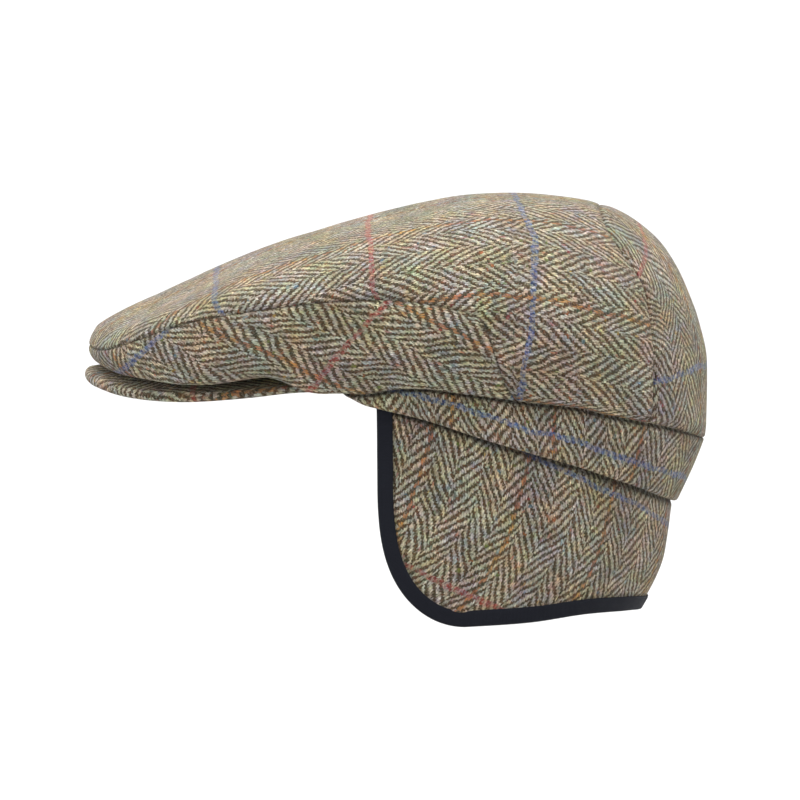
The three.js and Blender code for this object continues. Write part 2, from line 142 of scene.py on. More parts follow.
def smooth(low: float, high: float, at: Array) -> Array:
    """Smooth step from 0 at low to 1 at high."""
    share = np.clip((at - low) / (high - low), 0, 1)
    return share * share * (3 - 2 * share)


def clustered(count: int, tight: float = 2.0) -> Array:
    """Shares from 0 to 1, closer together near 0.

    Args:
        count: How many steps.
        tight: The power that draws them to 0.

    Returns:
        The shares.
    """
    return np.linspace(0, 1, count + 1) ** tight


def walked(points: Array) -> Array:
    """Length walked from a line's first point to each of its points."""
    return np.concatenate([[0], np.cumsum(np.linalg.norm(np.diff(points, axis=0), axis=1))])


# ---------------------------------------------------------------- the cap's sizes


@dataclass(frozen=True)
class HeadOval:
    """The oval opening that the head fills, and the upright axis that angles turn round."""

    half_width: float = 81.0
    front: float = -98.0
    back: float = 109.5
    axis_y: float = 28.0

    def middle(self) -> float:
        """The oval's centre along Y."""
        return (self.front + self.back) / 2

    def half_length(self) -> float:
        """Half of the oval's length."""
        return (self.back - self.front) / 2

    def radius(self, degrees: Array, grow: Array) -> Array:
        """Distance from the axis to the oval, grown outward.

        Args:
            degrees: Angles round the axis.
            grow: How much larger the oval is on every side.

        Returns:
            The distances.
        """
        angle = np.radians(degrees)
        across = self.half_width + grow
        along = self.half_length() + grow
        shift = self.axis_y - self.middle()
        square = (np.sin(angle) / across) ** 2 + (np.cos(angle) / along) ** 2
        linear = -2 * shift * np.cos(angle) / along**2
        rest = (shift / along) ** 2 - 1
        return (-linear + np.sqrt(linear**2 - 4 * square * rest)) / (2 * square)

    def place(self, degrees: Array, radius: Array, height: Array) -> Array:
        """Points at given angles, distances from the axis and heights.

        Args:
            degrees: Angles round the axis.
            radius: Distances from it.
            height: Heights.

        Returns:
            The points.
        """
        angle = np.radians(degrees)
        spots = (radius * np.sin(angle), self.axis_y - radius * np.cos(angle), height + 0 * angle)
        return np.stack(np.broadcast_arrays(*spots), -1)


HEAD = HeadOval()


@dataclass(frozen=True)
class CrownForm:
    """The crown's outer face, as a profile that changes round the head."""

    pole_z: float = 105.4
    pole_rise: int = 7
    hem_offset: float = 7.8
    lower: Rows = Rows(
        ("angle", "roll_r", "roll_z", "belly_r", "belly_z"),
        (
            (0, 179.0, 31.3, 184.4, 34.2), (15, 170.5, 25.6, 176.0, 29.5), (30, 145.0, 22.4, 151.5, 31.0),
            (38, 124.5, 25.2, 135.0, 33.5), (43, 115.5, 19.8, 125.0, 32.0), (55, 104.5, 21.5, 111.5, 34.0),
            (66, 98.5, 23.8, 103.8, 37.0), (90, 90.8, 21.0, 95.2, 36.0), (120, 88.8, 14.0, 91.2, 26.0),
            (150, 89.4, 6.6, 89.8, 18.0), (180, 89.4, 4.0, 89.5, 13.0),
        ),
    )
    hem: Rows = Rows(
        ("angle", "z"),
        (
            (0, 37.0), (15, 33.0), (30, 27.5), (38, 25.8), (43, 20.5), (50, 18.2), (55, 18.0),
            (61, 19.8), (66, 20.4), (80, 18.0), (90, 15.9), (100, 13.8), (106, 12.9), (112, 12.0),
            (120, 9.3), (127, 7.4), (135, 5.3), (143, 3.4), (150, 1.7), (160, -0.6), (180, -3.0),
        ),
    )
    upper: Rows = Rows(
        ("angle", "edge_r", "edge_z", "brow_r", "brow_z", "slope_r", "slope_z", "dome_r", "dome_z"),
        (
            (0, 185.6, 38.5, 182.0, 46.0, 150.0, 62.7, 88.0, 87.3),
            (15, 178.3, 36.8, 174.0, 43.6, 145.0, 60.5, 84.0, 87.6),
            (30, 153.8, 49.0, 149.4, 56.2, 124.0, 70.5, 72.0, 90.6),
            (45, 126.8, 56.0, 122.8, 64.2, 102.0, 78.5, 60.0, 94.0),
            (60, 110.4, 58.6, 106.8, 68.0, 89.0, 83.2, 52.0, 97.0),
            (90, 95.7, 51.0, 92.0, 68.0, 76.0, 86.5, 45.0, 99.5),
            (120, 91.4, 41.0, 87.0, 63.5, 71.0, 84.0, 43.0, 100.0),
            (150, 89.8, 32.0, 85.2, 56.0, 69.4, 82.6, 42.6, 100.5),
            (180, 89.2, 30.0, 84.7, 51.5, 69.0, 82.7, 42.5, 100.4),
        ),
    )
    side_seam: Rows = Rows(
        ("angle", "rise"),
        (
            (0, 3), (40, 3), (70, 3), (80, 2.98), (84, 2.9),
            (86.5, 2.48), (88, 1.95), (90.3, 1.26), (92.5, 0.45), (93.6, 0),
        ),
    )
    back_seam: Rows = Rows(
        ("angle", "rise"),
        (
            (136.4, 0), (136, 1.9), (136, 3.3), (136, 4.2), (134.4, 4.55), (133.4, 4.9),
            (134.4, 5.2), (139, 5.52), (147, 5.77), (158, 5.93), (180, 6.03),
        ),
    )

    def hem_z(self, degrees: Array) -> Array:
        """Height of the crown's free edge."""
        return self.hem.curve("z", degrees)

    def seam_foot(self) -> float:
        """Angle of the back seam at the hem."""
        return float(self.back_seam.column("angle")[0])

    def seam_head(self) -> float:
        """Rise of the back seam's arch at the middle of the back."""
        return float(self.back_seam.column("rise")[-1])

    def side_foot(self) -> float:
        """Angle at which the seam over the side panels comes down to the hem."""
        return float(self.side_seam.column("angle")[-1])

    def side_seam_rise(self, degrees: Array) -> Array:
        """Rise of the seam over the side panels."""
        return self.side_seam.curve("rise", degrees, Ends.CALM)

    def back_seam_angle(self, rise: Array) -> Array:
        """Angle of the seam beside the back panel."""
        return self.back_seam.curve("angle", rise, Ends.CALM, "rise")

    def profile(self, degrees: Array) -> tuple[Array, Array]:
        """The profile's points at each angle.

        Args:
            degrees: Angles round the axis.

        Returns:
            Radii and heights, each with a row for every profile point.
        """
        on_head = smooth(40, 52, np.abs(degrees))
        hem = HEAD.radius(degrees, 1 + (self.hem_offset - 1) * on_head)
        low, up = self.lower.curve, self.upper.curve
        radius = [hem, low("roll_r", degrees), low("belly_r", degrees)]
        height = [self.hem_z(degrees), low("roll_z", degrees), low("belly_z", degrees)]
        for name in ("edge", "brow", "slope", "dome"):
            radius.append(up(name + "_r", degrees))
            height.append(up(name + "_z", degrees))
        radius.append(np.zeros_like(hem))
        height.append(np.full_like(hem, self.pole_z))
        return np.stack(radius), np.stack(height)

    def along(self, values: Array, rise: Array, pole_slope: Callable[[Array], Array]) -> Array:
        """Reads one coordinate along the profile.

        Args:
            values: The profile points, a row for each.
            rise: Where to read each column.
            pole_slope: Gives the slope at the pole from the one before it.

        Returns:
            The coordinate.
        """
        steps = np.diff(values, axis=0)
        slopes = np.zeros_like(values)
        slopes[1:-1] = calm(steps[:-1], steps[1:])
        slopes[0] = steps[0]
        slopes[-1] = pole_slope(slopes[-2])
        i = np.clip(np.floor(rise).astype(int), 0, self.pole_rise - 1)
        at = np.arange(values.shape[1])
        return cubic(values[i, at], values[i + 1, at], slopes[i, at], slopes[i + 1, at], rise - i)

    def point(self, degrees: Array, rise: Array) -> Array:
        """Points of the outer face.

        Args:
            degrees: Angles round the axis.
            rise: How far up the profile.

        Returns:
            The points, in an array of the same shape with three coordinates.
        """
        degrees, rise = np.broadcast_arrays(np.asarray(degrees, float), np.asarray(rise, float))
        radius, height = self.profile(degrees.ravel())
        reach = radius[-1] - radius[-2]
        r = self.along(radius, rise.ravel(), lambda slope: 1.5 * reach - 0.5 * slope)
        z = self.along(height, rise.ravel(), np.zeros_like)
        return HEAD.place(degrees.ravel(), r, z).reshape(*degrees.shape, 3)

    def normal(self, degrees: Array, rise: Array) -> Array:
        """Outward normals, from small moves over the crown laid out as a disc.

        Args:
            degrees: Angles round the axis.
            rise: How far up the profile.

        Returns:
            The normals.
        """
        reach = 0.004
        angle = np.radians(degrees)
        radius = 1 - np.asarray(rise) / self.pole_rise
        x, y = radius * np.sin(angle), -radius * np.cos(angle)

        def moved(dx: float, dy: float) -> Array:
            """The outer face at a spot moved over the disc."""
            u, v = x + dx, y + dy
            return self.point(np.degrees(np.arctan2(u, -v)), self.pole_rise * (1 - np.hypot(u, v)))

        way = np.cross(moved(reach, 0) - moved(-reach, 0), moved(0, reach) - moved(0, -reach))
        return way / np.linalg.norm(way, axis=-1, keepdims=True)

    def spine(self) -> tuple[Array, Array, Array]:
        """The crown's centre line: its Y, its height and its length from the front.

        Returns:
            Three lists in order of Y.
        """
        rises = np.linspace(2.0, self.pole_rise, 200)
        front = self.point(np.zeros(200), rises)
        back = self.point(np.full(200, 180.0), rises[::-1])[1:]
        line = np.concatenate([front, back])
        order = np.argsort(line[:, 1])
        y, z = line[order, 1], line[order, 2]
        length = np.concatenate([[0], np.cumsum(np.hypot(np.diff(y), np.diff(z)))])
        return y, z, length


CROWN = CrownForm()

# ---------------------------------------------------------------- how panels are cut from the cloth


@dataclass(frozen=True)
class Cut:
    """Where a panel was cut from the checked cloth, and how sewing pulled its yarns.

    Places on the cloth are lengths along and across the herringbone's columns, as two values.
    """

    along: float = 0.0
    across: float = 0.0
    weft_lean: float = 0.0
    lean_middle: float = 0.0
    growth: float = 1.0

    def place(self, flat: Array) -> Array:
        """Moves a panel laid flat to its place on the cloth.

        Args:
            flat: The panel laid flat.

        Returns:
            Its places on the cloth.
        """
        along = flat[..., 0] * self.growth - self.weft_lean * (np.abs(flat[..., 1]) - self.lean_middle)
        return np.stack([along + self.along, flat[..., 1] + self.across], -1)


# ---------------------------------------------------------------- relief of sewn cloth


@dataclass(frozen=True)
class ClothRelief:
    """How sewn cloth departs from its smooth form: turned edges, puckers and slack."""

    turn: float = 1.5
    hem_turn: float = 1.4
    valley: float = 0.5
    valley_reach: float = 3.5
    pucker: float = 0.22
    pucker_reach: float = 7.0
    slack: float = 0.55
    slack_size: float = 36.0
    ripple: float = 0.2
    ripple_size: float = 13.0
    wrinkle_from: tuple[float, float, float] = (95.0, -1.0, 35.0)
    wrinkle_to: tuple[float, float, float] = (90.0, -25.0, 20.5)
    wrinkle_depth: float = 0.0
    wrinkle_reach: float = 3.4

    def wrinkle(self, spot: Array) -> float:
        """Depth of the soft fold that the side's fullness makes above the hem, on both sides.

        Args:
            spot: The place, in millimetres.

        Returns:
            The depth.
        """
        start, end = Vector(self.wrinkle_from), Vector(self.wrinkle_to)
        place = Vector((abs(spot[0]), spot[1], spot[2]))
        nearest, share = geometry.intersect_point_line(place, start, end)
        beyond = max(0.0, abs(share - 0.5) - 0.5)
        away = (place - nearest).length / self.wrinkle_reach
        return self.wrinkle_depth * math.exp(-(away**2) - (beyond / 0.4) ** 2)

    def drop(self, spot: Array, seam: float, hem: float) -> float:
        """How far the cloth sinks at a spot.

        Args:
            spot: The place, in millimetres.
            seam: How far the nearest seam is.
            hem: How far the nearest hem is.

        Returns:
            The sink below the smooth form, negative where the cloth stands up.
        """
        sink = rolled(seam, self.turn) + rolled(hem, self.hem_turn)
        distance = min(seam, hem)
        sink += self.valley * math.exp(-((distance / self.valley_reach) ** 2))
        place = Vector(spot)
        sink += self.pucker * noise.noise(place / 4.5) * math.exp(-distance / self.pucker_reach)
        sink += self.slack * noise.noise(place / self.slack_size + Vector((3.1, 0.7, 5.2)))
        sink += self.ripple * noise.noise(place / self.ripple_size)
        if self.wrinkle_depth:
            sink += self.wrinkle(spot)
        return sink

    def shape(self, points: Array, normals: Array, seams: Array, hems: Array) -> Array:
        """Moves a grid of points along their normals.

        Args:
            points: The smooth form.
            normals: Its outward normals.
            seams: Points along its seams.
            hems: Points along its hems.

        Returns:
            The cloth's outer face.
        """
        to_seam, to_hem = lookup(seams), lookup(hems)
        flat = points.reshape(-1, 3)
        sinks = np.array([self.drop(spot, to_seam.find(spot)[2], to_hem.find(spot)[2]) for spot in flat])
        return points - normals * sinks.reshape(*points.shape[:-1], 1)


def rolled(distance: float, radius: float) -> float:
    """How far cloth has rolled under, at a distance from its edge."""
    near = max(0.0, radius - distance)
    return radius - math.sqrt(max(0.0, radius**2 - near**2))


def lookup(points: Array) -> kdtree.KDTree:
    """Makes a tree that finds the nearest of some points.

    Args:
        points: The points.

    Returns:
        The tree.
    """
    tree = kdtree.KDTree(len(points))
    for index, spot in enumerate(points):
        tree.insert(spot, index)
    tree.balance()
    return tree


def around_axis(points: Array) -> Array:
    """Angle of each point round the upright axis, without its side."""
    return np.degrees(np.arctan2(np.abs(points[..., 0]), HEAD.axis_y - points[..., 1]))


def densely(line: Array, step: float = 0.6) -> Array:
    """Points along a polyline, close enough to measure distances from.

    Args:
        line: The polyline.
        step: The most between two points.

    Returns:
        The points.
    """
    parts = []
    for start, end in zip(line[:-1], line[1:]):
        count = max(1, math.ceil(float(np.linalg.norm(end - start)) / step))
        parts.append(start + (end - start) * (np.arange(count) / count)[:, None])
    return np.concatenate([*parts, line[-1:]])


# ---------------------------------------------------------------- meshes


def choose_only(piece: bpy.types.Object) -> None:
    """Leaves one object selected and active.

    Args:
        piece: The object.
    """
    bpy.ops.object.select_all(action="DESELECT")
    piece.select_set(True)
    bpy.context.view_layer.objects.active = piece


def apply_modifier(piece: bpy.types.Object, kind: str, **settings: object) -> None:
    """Adds a modifier and applies it.

    Args:
        piece: The object.
        kind: The modifier's type.
        **settings: Its settings.
    """
    choose_only(piece)
    modifier = piece.modifiers.new(kind.title(), kind)
    for name, value in settings.items():
        setattr(modifier, name, value)
    bpy.ops.object.modifier_apply(modifier=modifier.name)


def mesh_piece(name: str, points: Array, faces: Sequence[Sequence[int]], weave: Array) -> bpy.types.Object:
    """Makes an object from points and faces, with a map of where each point lies on the flat cloth.

    Args:
        name: The object's name.
        points: Points, in millimetres.
        faces: Corner numbers of each face.
        weave: Place of each point on the flat cloth, in millimetres.

    Returns:
        The new object, smooth, with coinciding points merged.
    """
    mesh = bpy.data.meshes.new(name)
    mesh.from_pydata((points * MM).tolist(), [], [list(face) for face in faces])
    layer = mesh.uv_layers.new(name="weave")
    corners = np.zeros(len(mesh.loops), dtype=np.int32)
    mesh.loops.foreach_get("vertex_index", corners)
    layer.data.foreach_set("uv", weave[corners].astype(np.float32).ravel())
    piece = bpy.data.objects.new(name, mesh)
    bpy.context.collection.objects.link(piece)
    work = bmesh.new()
    work.from_mesh(mesh)
    bmesh.ops.remove_doubles(work, verts=work.verts, dist=2e-6)
    bmesh.ops.dissolve_degenerate(work, edges=work.edges, dist=1e-7)
    work.to_mesh(mesh)
    work.free()
    choose_only(piece)
    bpy.ops.object.shade_smooth()
    return piece


def grid_faces(rows: int, columns: int, closed: bool = False) -> list[tuple[int, int, int, int]]:
    """Faces between the points of a grid.

    Args:
        rows: Number of rows of points.
        columns: Number of points in a row.
        closed: Whether each row's last point joins its first.

    Returns:
        The corner numbers of each face.
    """
    across = columns if closed else columns - 1
    faces = []
    for row in range(rows - 1):
        for column in range(across):
            following = (column + 1) % columns
            start, below = row * columns, (row + 1) * columns
            faces.append((start + column, start + following, below + following, below + column))
    return faces


def read_map(piece: bpy.types.Object) -> Array:
    """Reads the place on the flat cloth of every face corner.

    Args:
        piece: The object.

    Returns:
        The places, in the order of the mesh's corners.
    """
    layer = piece.data.uv_layers["weave"]
    places = np.zeros(2 * len(layer.data), dtype=np.float32)
    layer.data.foreach_get("uv", places)
    return places.reshape(-1, 2).astype(float)


def map_scale(piece: bpy.types.Object, places: Array) -> float:
    """How much a flat map must grow to cover as much as the piece, in millimetres.

    Args:
        piece: The object.
        places: Place of each of its face corners on the map.

    Returns:
        The factor.
    """
    flat = 0.0
    for face in piece.data.polygons:
        x, y = places[face.loop_start:face.loop_start + face.loop_total].T
        flat += abs(float(x @ np.roll(y, -1) - y @ np.roll(x, -1))) / 2
    return math.sqrt(sum(face.area for face in piece.data.polygons) / flat) / MM


def thinned(count: int, step: int = 3) -> Array:
    """Every few numbers below a count, always with the last."""
    return np.unique(np.append(np.arange(0, count, step), count - 1))


def refill(values: Array, kept: Array, grid: Array) -> Array:
    """Fills in values that are known on some rows of a grid, by length along its columns.

    Args:
        values: Values on the rows kept.
        kept: Numbers of these rows.
        grid: All points of the grid, or only those of the columns known.

    Returns:
        Values on every row.
    """
    steps = np.linalg.norm(np.diff(grid, axis=0), axis=-1) + 1e-9
    length = np.concatenate([np.zeros((1, grid.shape[1])), np.cumsum(steps, axis=0)])
    full = np.empty((*grid.shape[:2], 2))
    for column in range(grid.shape[1]):
        for part in range(2):
            known = values[:, column, part]
            full[:, column, part] = np.interp(length[:, column], length[kept, column], known)
    return full


def flatten(grid: Array, rough: Array) -> Array:
    """Lays a curved sheet flat with the least stretch, as its cloth lay before it was sewn.

    Args:
        grid: Rows of points on the sheet.
        rough: A rough guess of their places, which sets the cloth's turn and place.

    Returns:
        The place of each point on the flat cloth.
    """
    rows, columns = thinned(grid.shape[0]), thinned(grid.shape[1])
    some = grid[np.ix_(rows, columns)]
    guess = rough[np.ix_(rows, columns)]
    faces = grid_faces(len(rows), len(columns))
    piece = mesh_piece("flat_pattern", some.reshape(-1, 3), faces, guess.reshape(-1, 2))
    bpy.ops.object.mode_set(mode="EDIT")
    bpy.ops.mesh.select_all(action="SELECT")
    bpy.ops.uv.unwrap(method="MINIMUM_STRETCH", iterations=80, margin=0.0)
    bpy.ops.object.mode_set(mode="OBJECT")
    flat = read_map(piece)
    flat *= map_scale(piece, flat)
    tree = kdtree.KDTree(len(flat))
    for number, loop in enumerate(piece.data.loops):
        tree.insert(piece.data.vertices[loop.vertex_index].co, number)
    tree.balance()
    nearest = [tree.find(spot)[1] for spot in some.reshape(-1, 3) * MM]
    bpy.data.objects.remove(piece)
    flat = flat[nearest]
    aim = guess.reshape(-1, 2)
    left, _, right = np.linalg.svd((flat - flat.mean(0)).T @ (aim - aim.mean(0)))
    placed = (flat - flat.mean(0)) @ (left @ right) + aim.mean(0)
    known = refill(placed.reshape(len(rows), len(columns), 2), rows, grid[:, columns])
    turned = refill(known.transpose(1, 0, 2), columns, grid.transpose(1, 0, 2))
    return turned.transpose(1, 0, 2)


def sheet_piece(name: str, grid: Array, weave: Array, outward: Array, thick: float) -> bpy.types.Object:
    """Makes a wall of cloth from a grid of points on its outer face.

    Args:
        name: The object's name.
        grid: Rows of points.
        weave: Place of each point on the flat cloth.
        outward: The outer face's normal at each point.
        thick: The wall's thickness.

    Returns:
        The closed wall.
    """
    rows, columns = grid.shape[:2]
    faces = grid_faces(rows, columns)
    corner = grid.reshape(-1, 3)[np.array(faces)]
    way = np.cross(corner[:, 2] - corner[:, 0], corner[:, 3] - corner[:, 1])
    agree = (way * outward.reshape(-1, 3)[np.array(faces)[:, 0]]).sum()
    if agree < 0:
        faces = [face[::-1] for face in faces]
    piece = mesh_piece(name, grid.reshape(-1, 3), faces, weave.reshape(-1, 2))
    apply_modifier(piece, "SOLIDIFY", thickness=thick * MM, offset=-1.0, use_quality_normals=True)
    return piece


def tube_piece(name: str, sections: Array, weave: Array) -> bpy.types.Object:
    """Makes a closed body from a row of closed sections, with filled ends.

    Args:
        name: The object's name.
        sections: Rows of points, one closed section in each.
        weave: Place of each point on the flat cloth.

    Returns:
        The closed body, with its faces turned outward.
    """
    rows, columns = sections.shape[:2]
    faces: list[Sequence[int]] = list(grid_faces(rows, columns, closed=True))
    piece = mesh_piece(name, sections.reshape(-1, 3), faces, weave.reshape(-1, 2))
    work = bmesh.new()
    work.from_mesh(piece.data)
    edges = [edge for edge in work.edges if edge.is_boundary]
    bmesh.ops.holes_fill(work, edges=edges, sides=0)
    bmesh.ops.recalc_face_normals(work, faces=work.faces)
    work.to_mesh(piece.data)
    work.free()
    return piece


def paint_shade_in_creases(piece: bpy.types.Object, lines: Sequence[tuple[Array, float, float]]) -> None:
    """Stores the painted shade of each point of a piece, from 0 to 1, darkest along its creases, seams and
    hems.

    Args:
        piece: The object.
        lines: Points along each line of painted shade, how wide it reaches and how dark it is.
    """
    # painted shade: darkness that fades with distance from each line
    trees = [(lookup(line), reach, depth) for line, reach, depth in lines]
    depths = [
        max(depth * math.exp(-((tree.find(vertex.co / MM)[2] / reach) ** 2)) for tree, reach, depth in trees)
        for vertex in piece.data.vertices
    ]
    piece.data.attributes.new("crease_shade", "FLOAT", "POINT").data.foreach_set("value", depths)


def finish_piece(piece: bpy.types.Object, slot: str, finish: bpy.types.Material, *nodes: str) -> None:
    """Gives a piece its material, its body and the solids that it stands for.

    Args:
        piece: The object.
        slot: Not used.
        finish: The material.
        *nodes: Solids that it replaces.
    """
    piece.data.materials.clear()
    piece.data.materials.append(finish)
    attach(piece, "root")
    if nodes:
        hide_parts(*nodes)
    LOG.info("%s: %d faces", piece.name, len(piece.data.polygons))


# ---------------------------------------------------------------- shader graphs


def colour(code: str) -> tuple[float, float, float, float]:
    """Turns a display colour code into a scene colour.

    Args:
        code: Six hexadecimal digits.

    Returns:
        The colour, opaque.
    """
    parts = [int(code[i:i + 2], 16) / 255 for i in (0, 2, 4)]
    red, green, blue = (p / 12.92 if p <= 0.04045 else ((p + 0.055) / 1.055) ** 2.4 for p in parts)
    return red, green, blue, 1.0


class Graph:
    """Writes a material's nodes in reading order."""

    def __init__(self, name: str) -> None:
        """Starts an empty material with its shader and output.

        Args:
            name: The material's name.
        """
        self.material = bpy.data.materials.new(name)
        self.material.use_nodes = True
        self.tree = self.material.node_tree
        self.tree.nodes.clear()
        self.shader = self.tree.nodes.new("ShaderNodeBsdfPrincipled")
        output = self.tree.nodes.new("ShaderNodeOutputMaterial")
        self.tree.links.new(self.shader.outputs["BSDF"], output.inputs["Surface"])

    def put(self, socket: Socket, value: object) -> None:
        """Links or sets an input.

        Args:
            socket: The input.
            value: Another node's output, or a constant.
        """
        if isinstance(value, bpy.types.NodeSocket):
            self.tree.links.new(value, socket)
        else:
            socket.default_value = value

    def math(self, operation: str, *values: object, clamp: bool = False) -> Socket:
        """One Math node.

        Args:
            operation: The node's operation.
            *values: Its inputs.
            clamp: Whether the result stays between 0 and 1.

        Returns:
            The result.
        """
        node = self.tree.nodes.new("ShaderNodeMath")
        node.operation = operation
        node.use_clamp = clamp
        for socket, value in zip(node.inputs, values):
            self.put(socket, value)
        return node.outputs[0]

    def total(self, *values: object) -> Socket:
        """Adds several values.

        Args:
            *values: The values.

        Returns:
            Their sum.
        """
        result = self.math("ADD", values[0], values[1])
        for value in values[2:]:
            result = self.math("ADD", result, value)
        return result

    def vector(self, x: object, y: object, z: object = 0.0) -> Socket:
        """Joins three values to a vector.

        Args:
            x: The first value.
            y: The second value.
            z: The third value.

        Returns:
            The vector.
        """
        node = self.tree.nodes.new("ShaderNodeCombineXYZ")
        for socket, value in zip(node.inputs, (x, y, z)):
            self.put(socket, value)
        return node.outputs[0]

    def parts(self, vector: Socket) -> tuple[Socket, Socket, Socket]:
        """Splits a vector or colour into three values.

        Args:
            vector: What is split.

        Returns:
            The three values.
        """
        node = self.tree.nodes.new("ShaderNodeSeparateXYZ")
        self.put(node.inputs[0], vector)
        return node.outputs[0], node.outputs[1], node.outputs[2]

    def flat_cloth(self) -> tuple[Socket, Socket]:
        """Reads the place on the flat cloth, in millimetres.

        Returns:
            Places along and across the columns.
        """
        node = self.tree.nodes.new("ShaderNodeUVMap")
        node.uv_map = "weave"
        along, across, _ = self.parts(node.outputs[0])
        return along, across

    def crease_shade(self) -> Socket:
        """Reads the painted shade stored along creases, seams and hems.

        Returns:
            The painted shade, from 0 to 1.
        """
        node = self.tree.nodes.new("ShaderNodeAttribute")
        node.attribute_name = "crease_shade"
        return node.outputs["Fac"]

    def cloud(self, vector: Socket, scale: float, detail: float = 2.0) -> tuple[Socket, Socket]:
        """Noise.

        Args:
            vector: Where it is read.
            scale: Its scale.
            detail: How many finer layers it has.

        Returns:
            The noise as a value and as a colour.
        """
        node = self.tree.nodes.new("ShaderNodeTexNoise")
        node.noise_dimensions = "3D"
        self.put(node.inputs["Vector"], vector)
        node.inputs["Scale"].default_value = scale
        node.inputs["Detail"].default_value = detail
        return node.outputs[0], node.outputs[1]

    def chance(self, vector: Socket) -> Socket:
        """Draws a random value for each place.

        Args:
            vector: The place, the same all over a stretch of yarn.

        Returns:
            The value, from 0 to 1.
        """
        node = self.tree.nodes.new("ShaderNodeTexWhiteNoise")
        node.noise_dimensions = "3D"
        self.put(node.inputs["Vector"], vector)
        return node.outputs[0]

    def mix(self, share: object, first: object, second: object, blend: str = "MIX") -> Socket:
        """Mixes two colours.

        Args:
            share: How much of the second shows.
            first: The colour below.
            second: The colour above.
            blend: The node's blend type.

        Returns:
            The mixed colour.
        """
        node = self.tree.nodes.new("ShaderNodeMix")
        node.data_type = "RGBA"
        node.blend_type = blend
        self.put(node.inputs[0], share)
        self.put(node.inputs[6], first)
        self.put(node.inputs[7], second)
        return node.outputs[2]

    def ramp(self, value: Socket, stops: Sequence[tuple[float, str]], sharp: bool = False) -> Socket:
        """A colour ramp.

        Args:
            value: Where it is read.
            stops: Places and colour codes.
            sharp: Whether the colours meet without blending.

        Returns:
            The colour.
        """
        node = self.tree.nodes.new("ShaderNodeValToRGB")
        ramp = node.color_ramp
        ramp.interpolation = "CONSTANT" if sharp else "LINEAR"
        while len(ramp.elements) < len(stops):
            ramp.elements.new(0.5)
        for element, (place, code) in zip(ramp.elements, stops):
            element.position = place
            element.color = colour(code)
        self.put(node.inputs[0], value)
        return node.outputs[0]

    def bump(self, height: Socket, distance: float, strength: float = 1.0) -> None:
        """Raises the surface under the light.

        Args:
            height: The height, about 0 to 1.
            distance: How far a height of 1 rises, in metres.
            strength: How much of it shows.
        """
        node = self.tree.nodes.new("ShaderNodeBump")
        node.inputs["Strength"].default_value = strength
        node.inputs["Distance"].default_value = distance
        self.put(node.inputs["Height"], height)
        self.put(self.shader.inputs["Normal"], node.outputs[0])


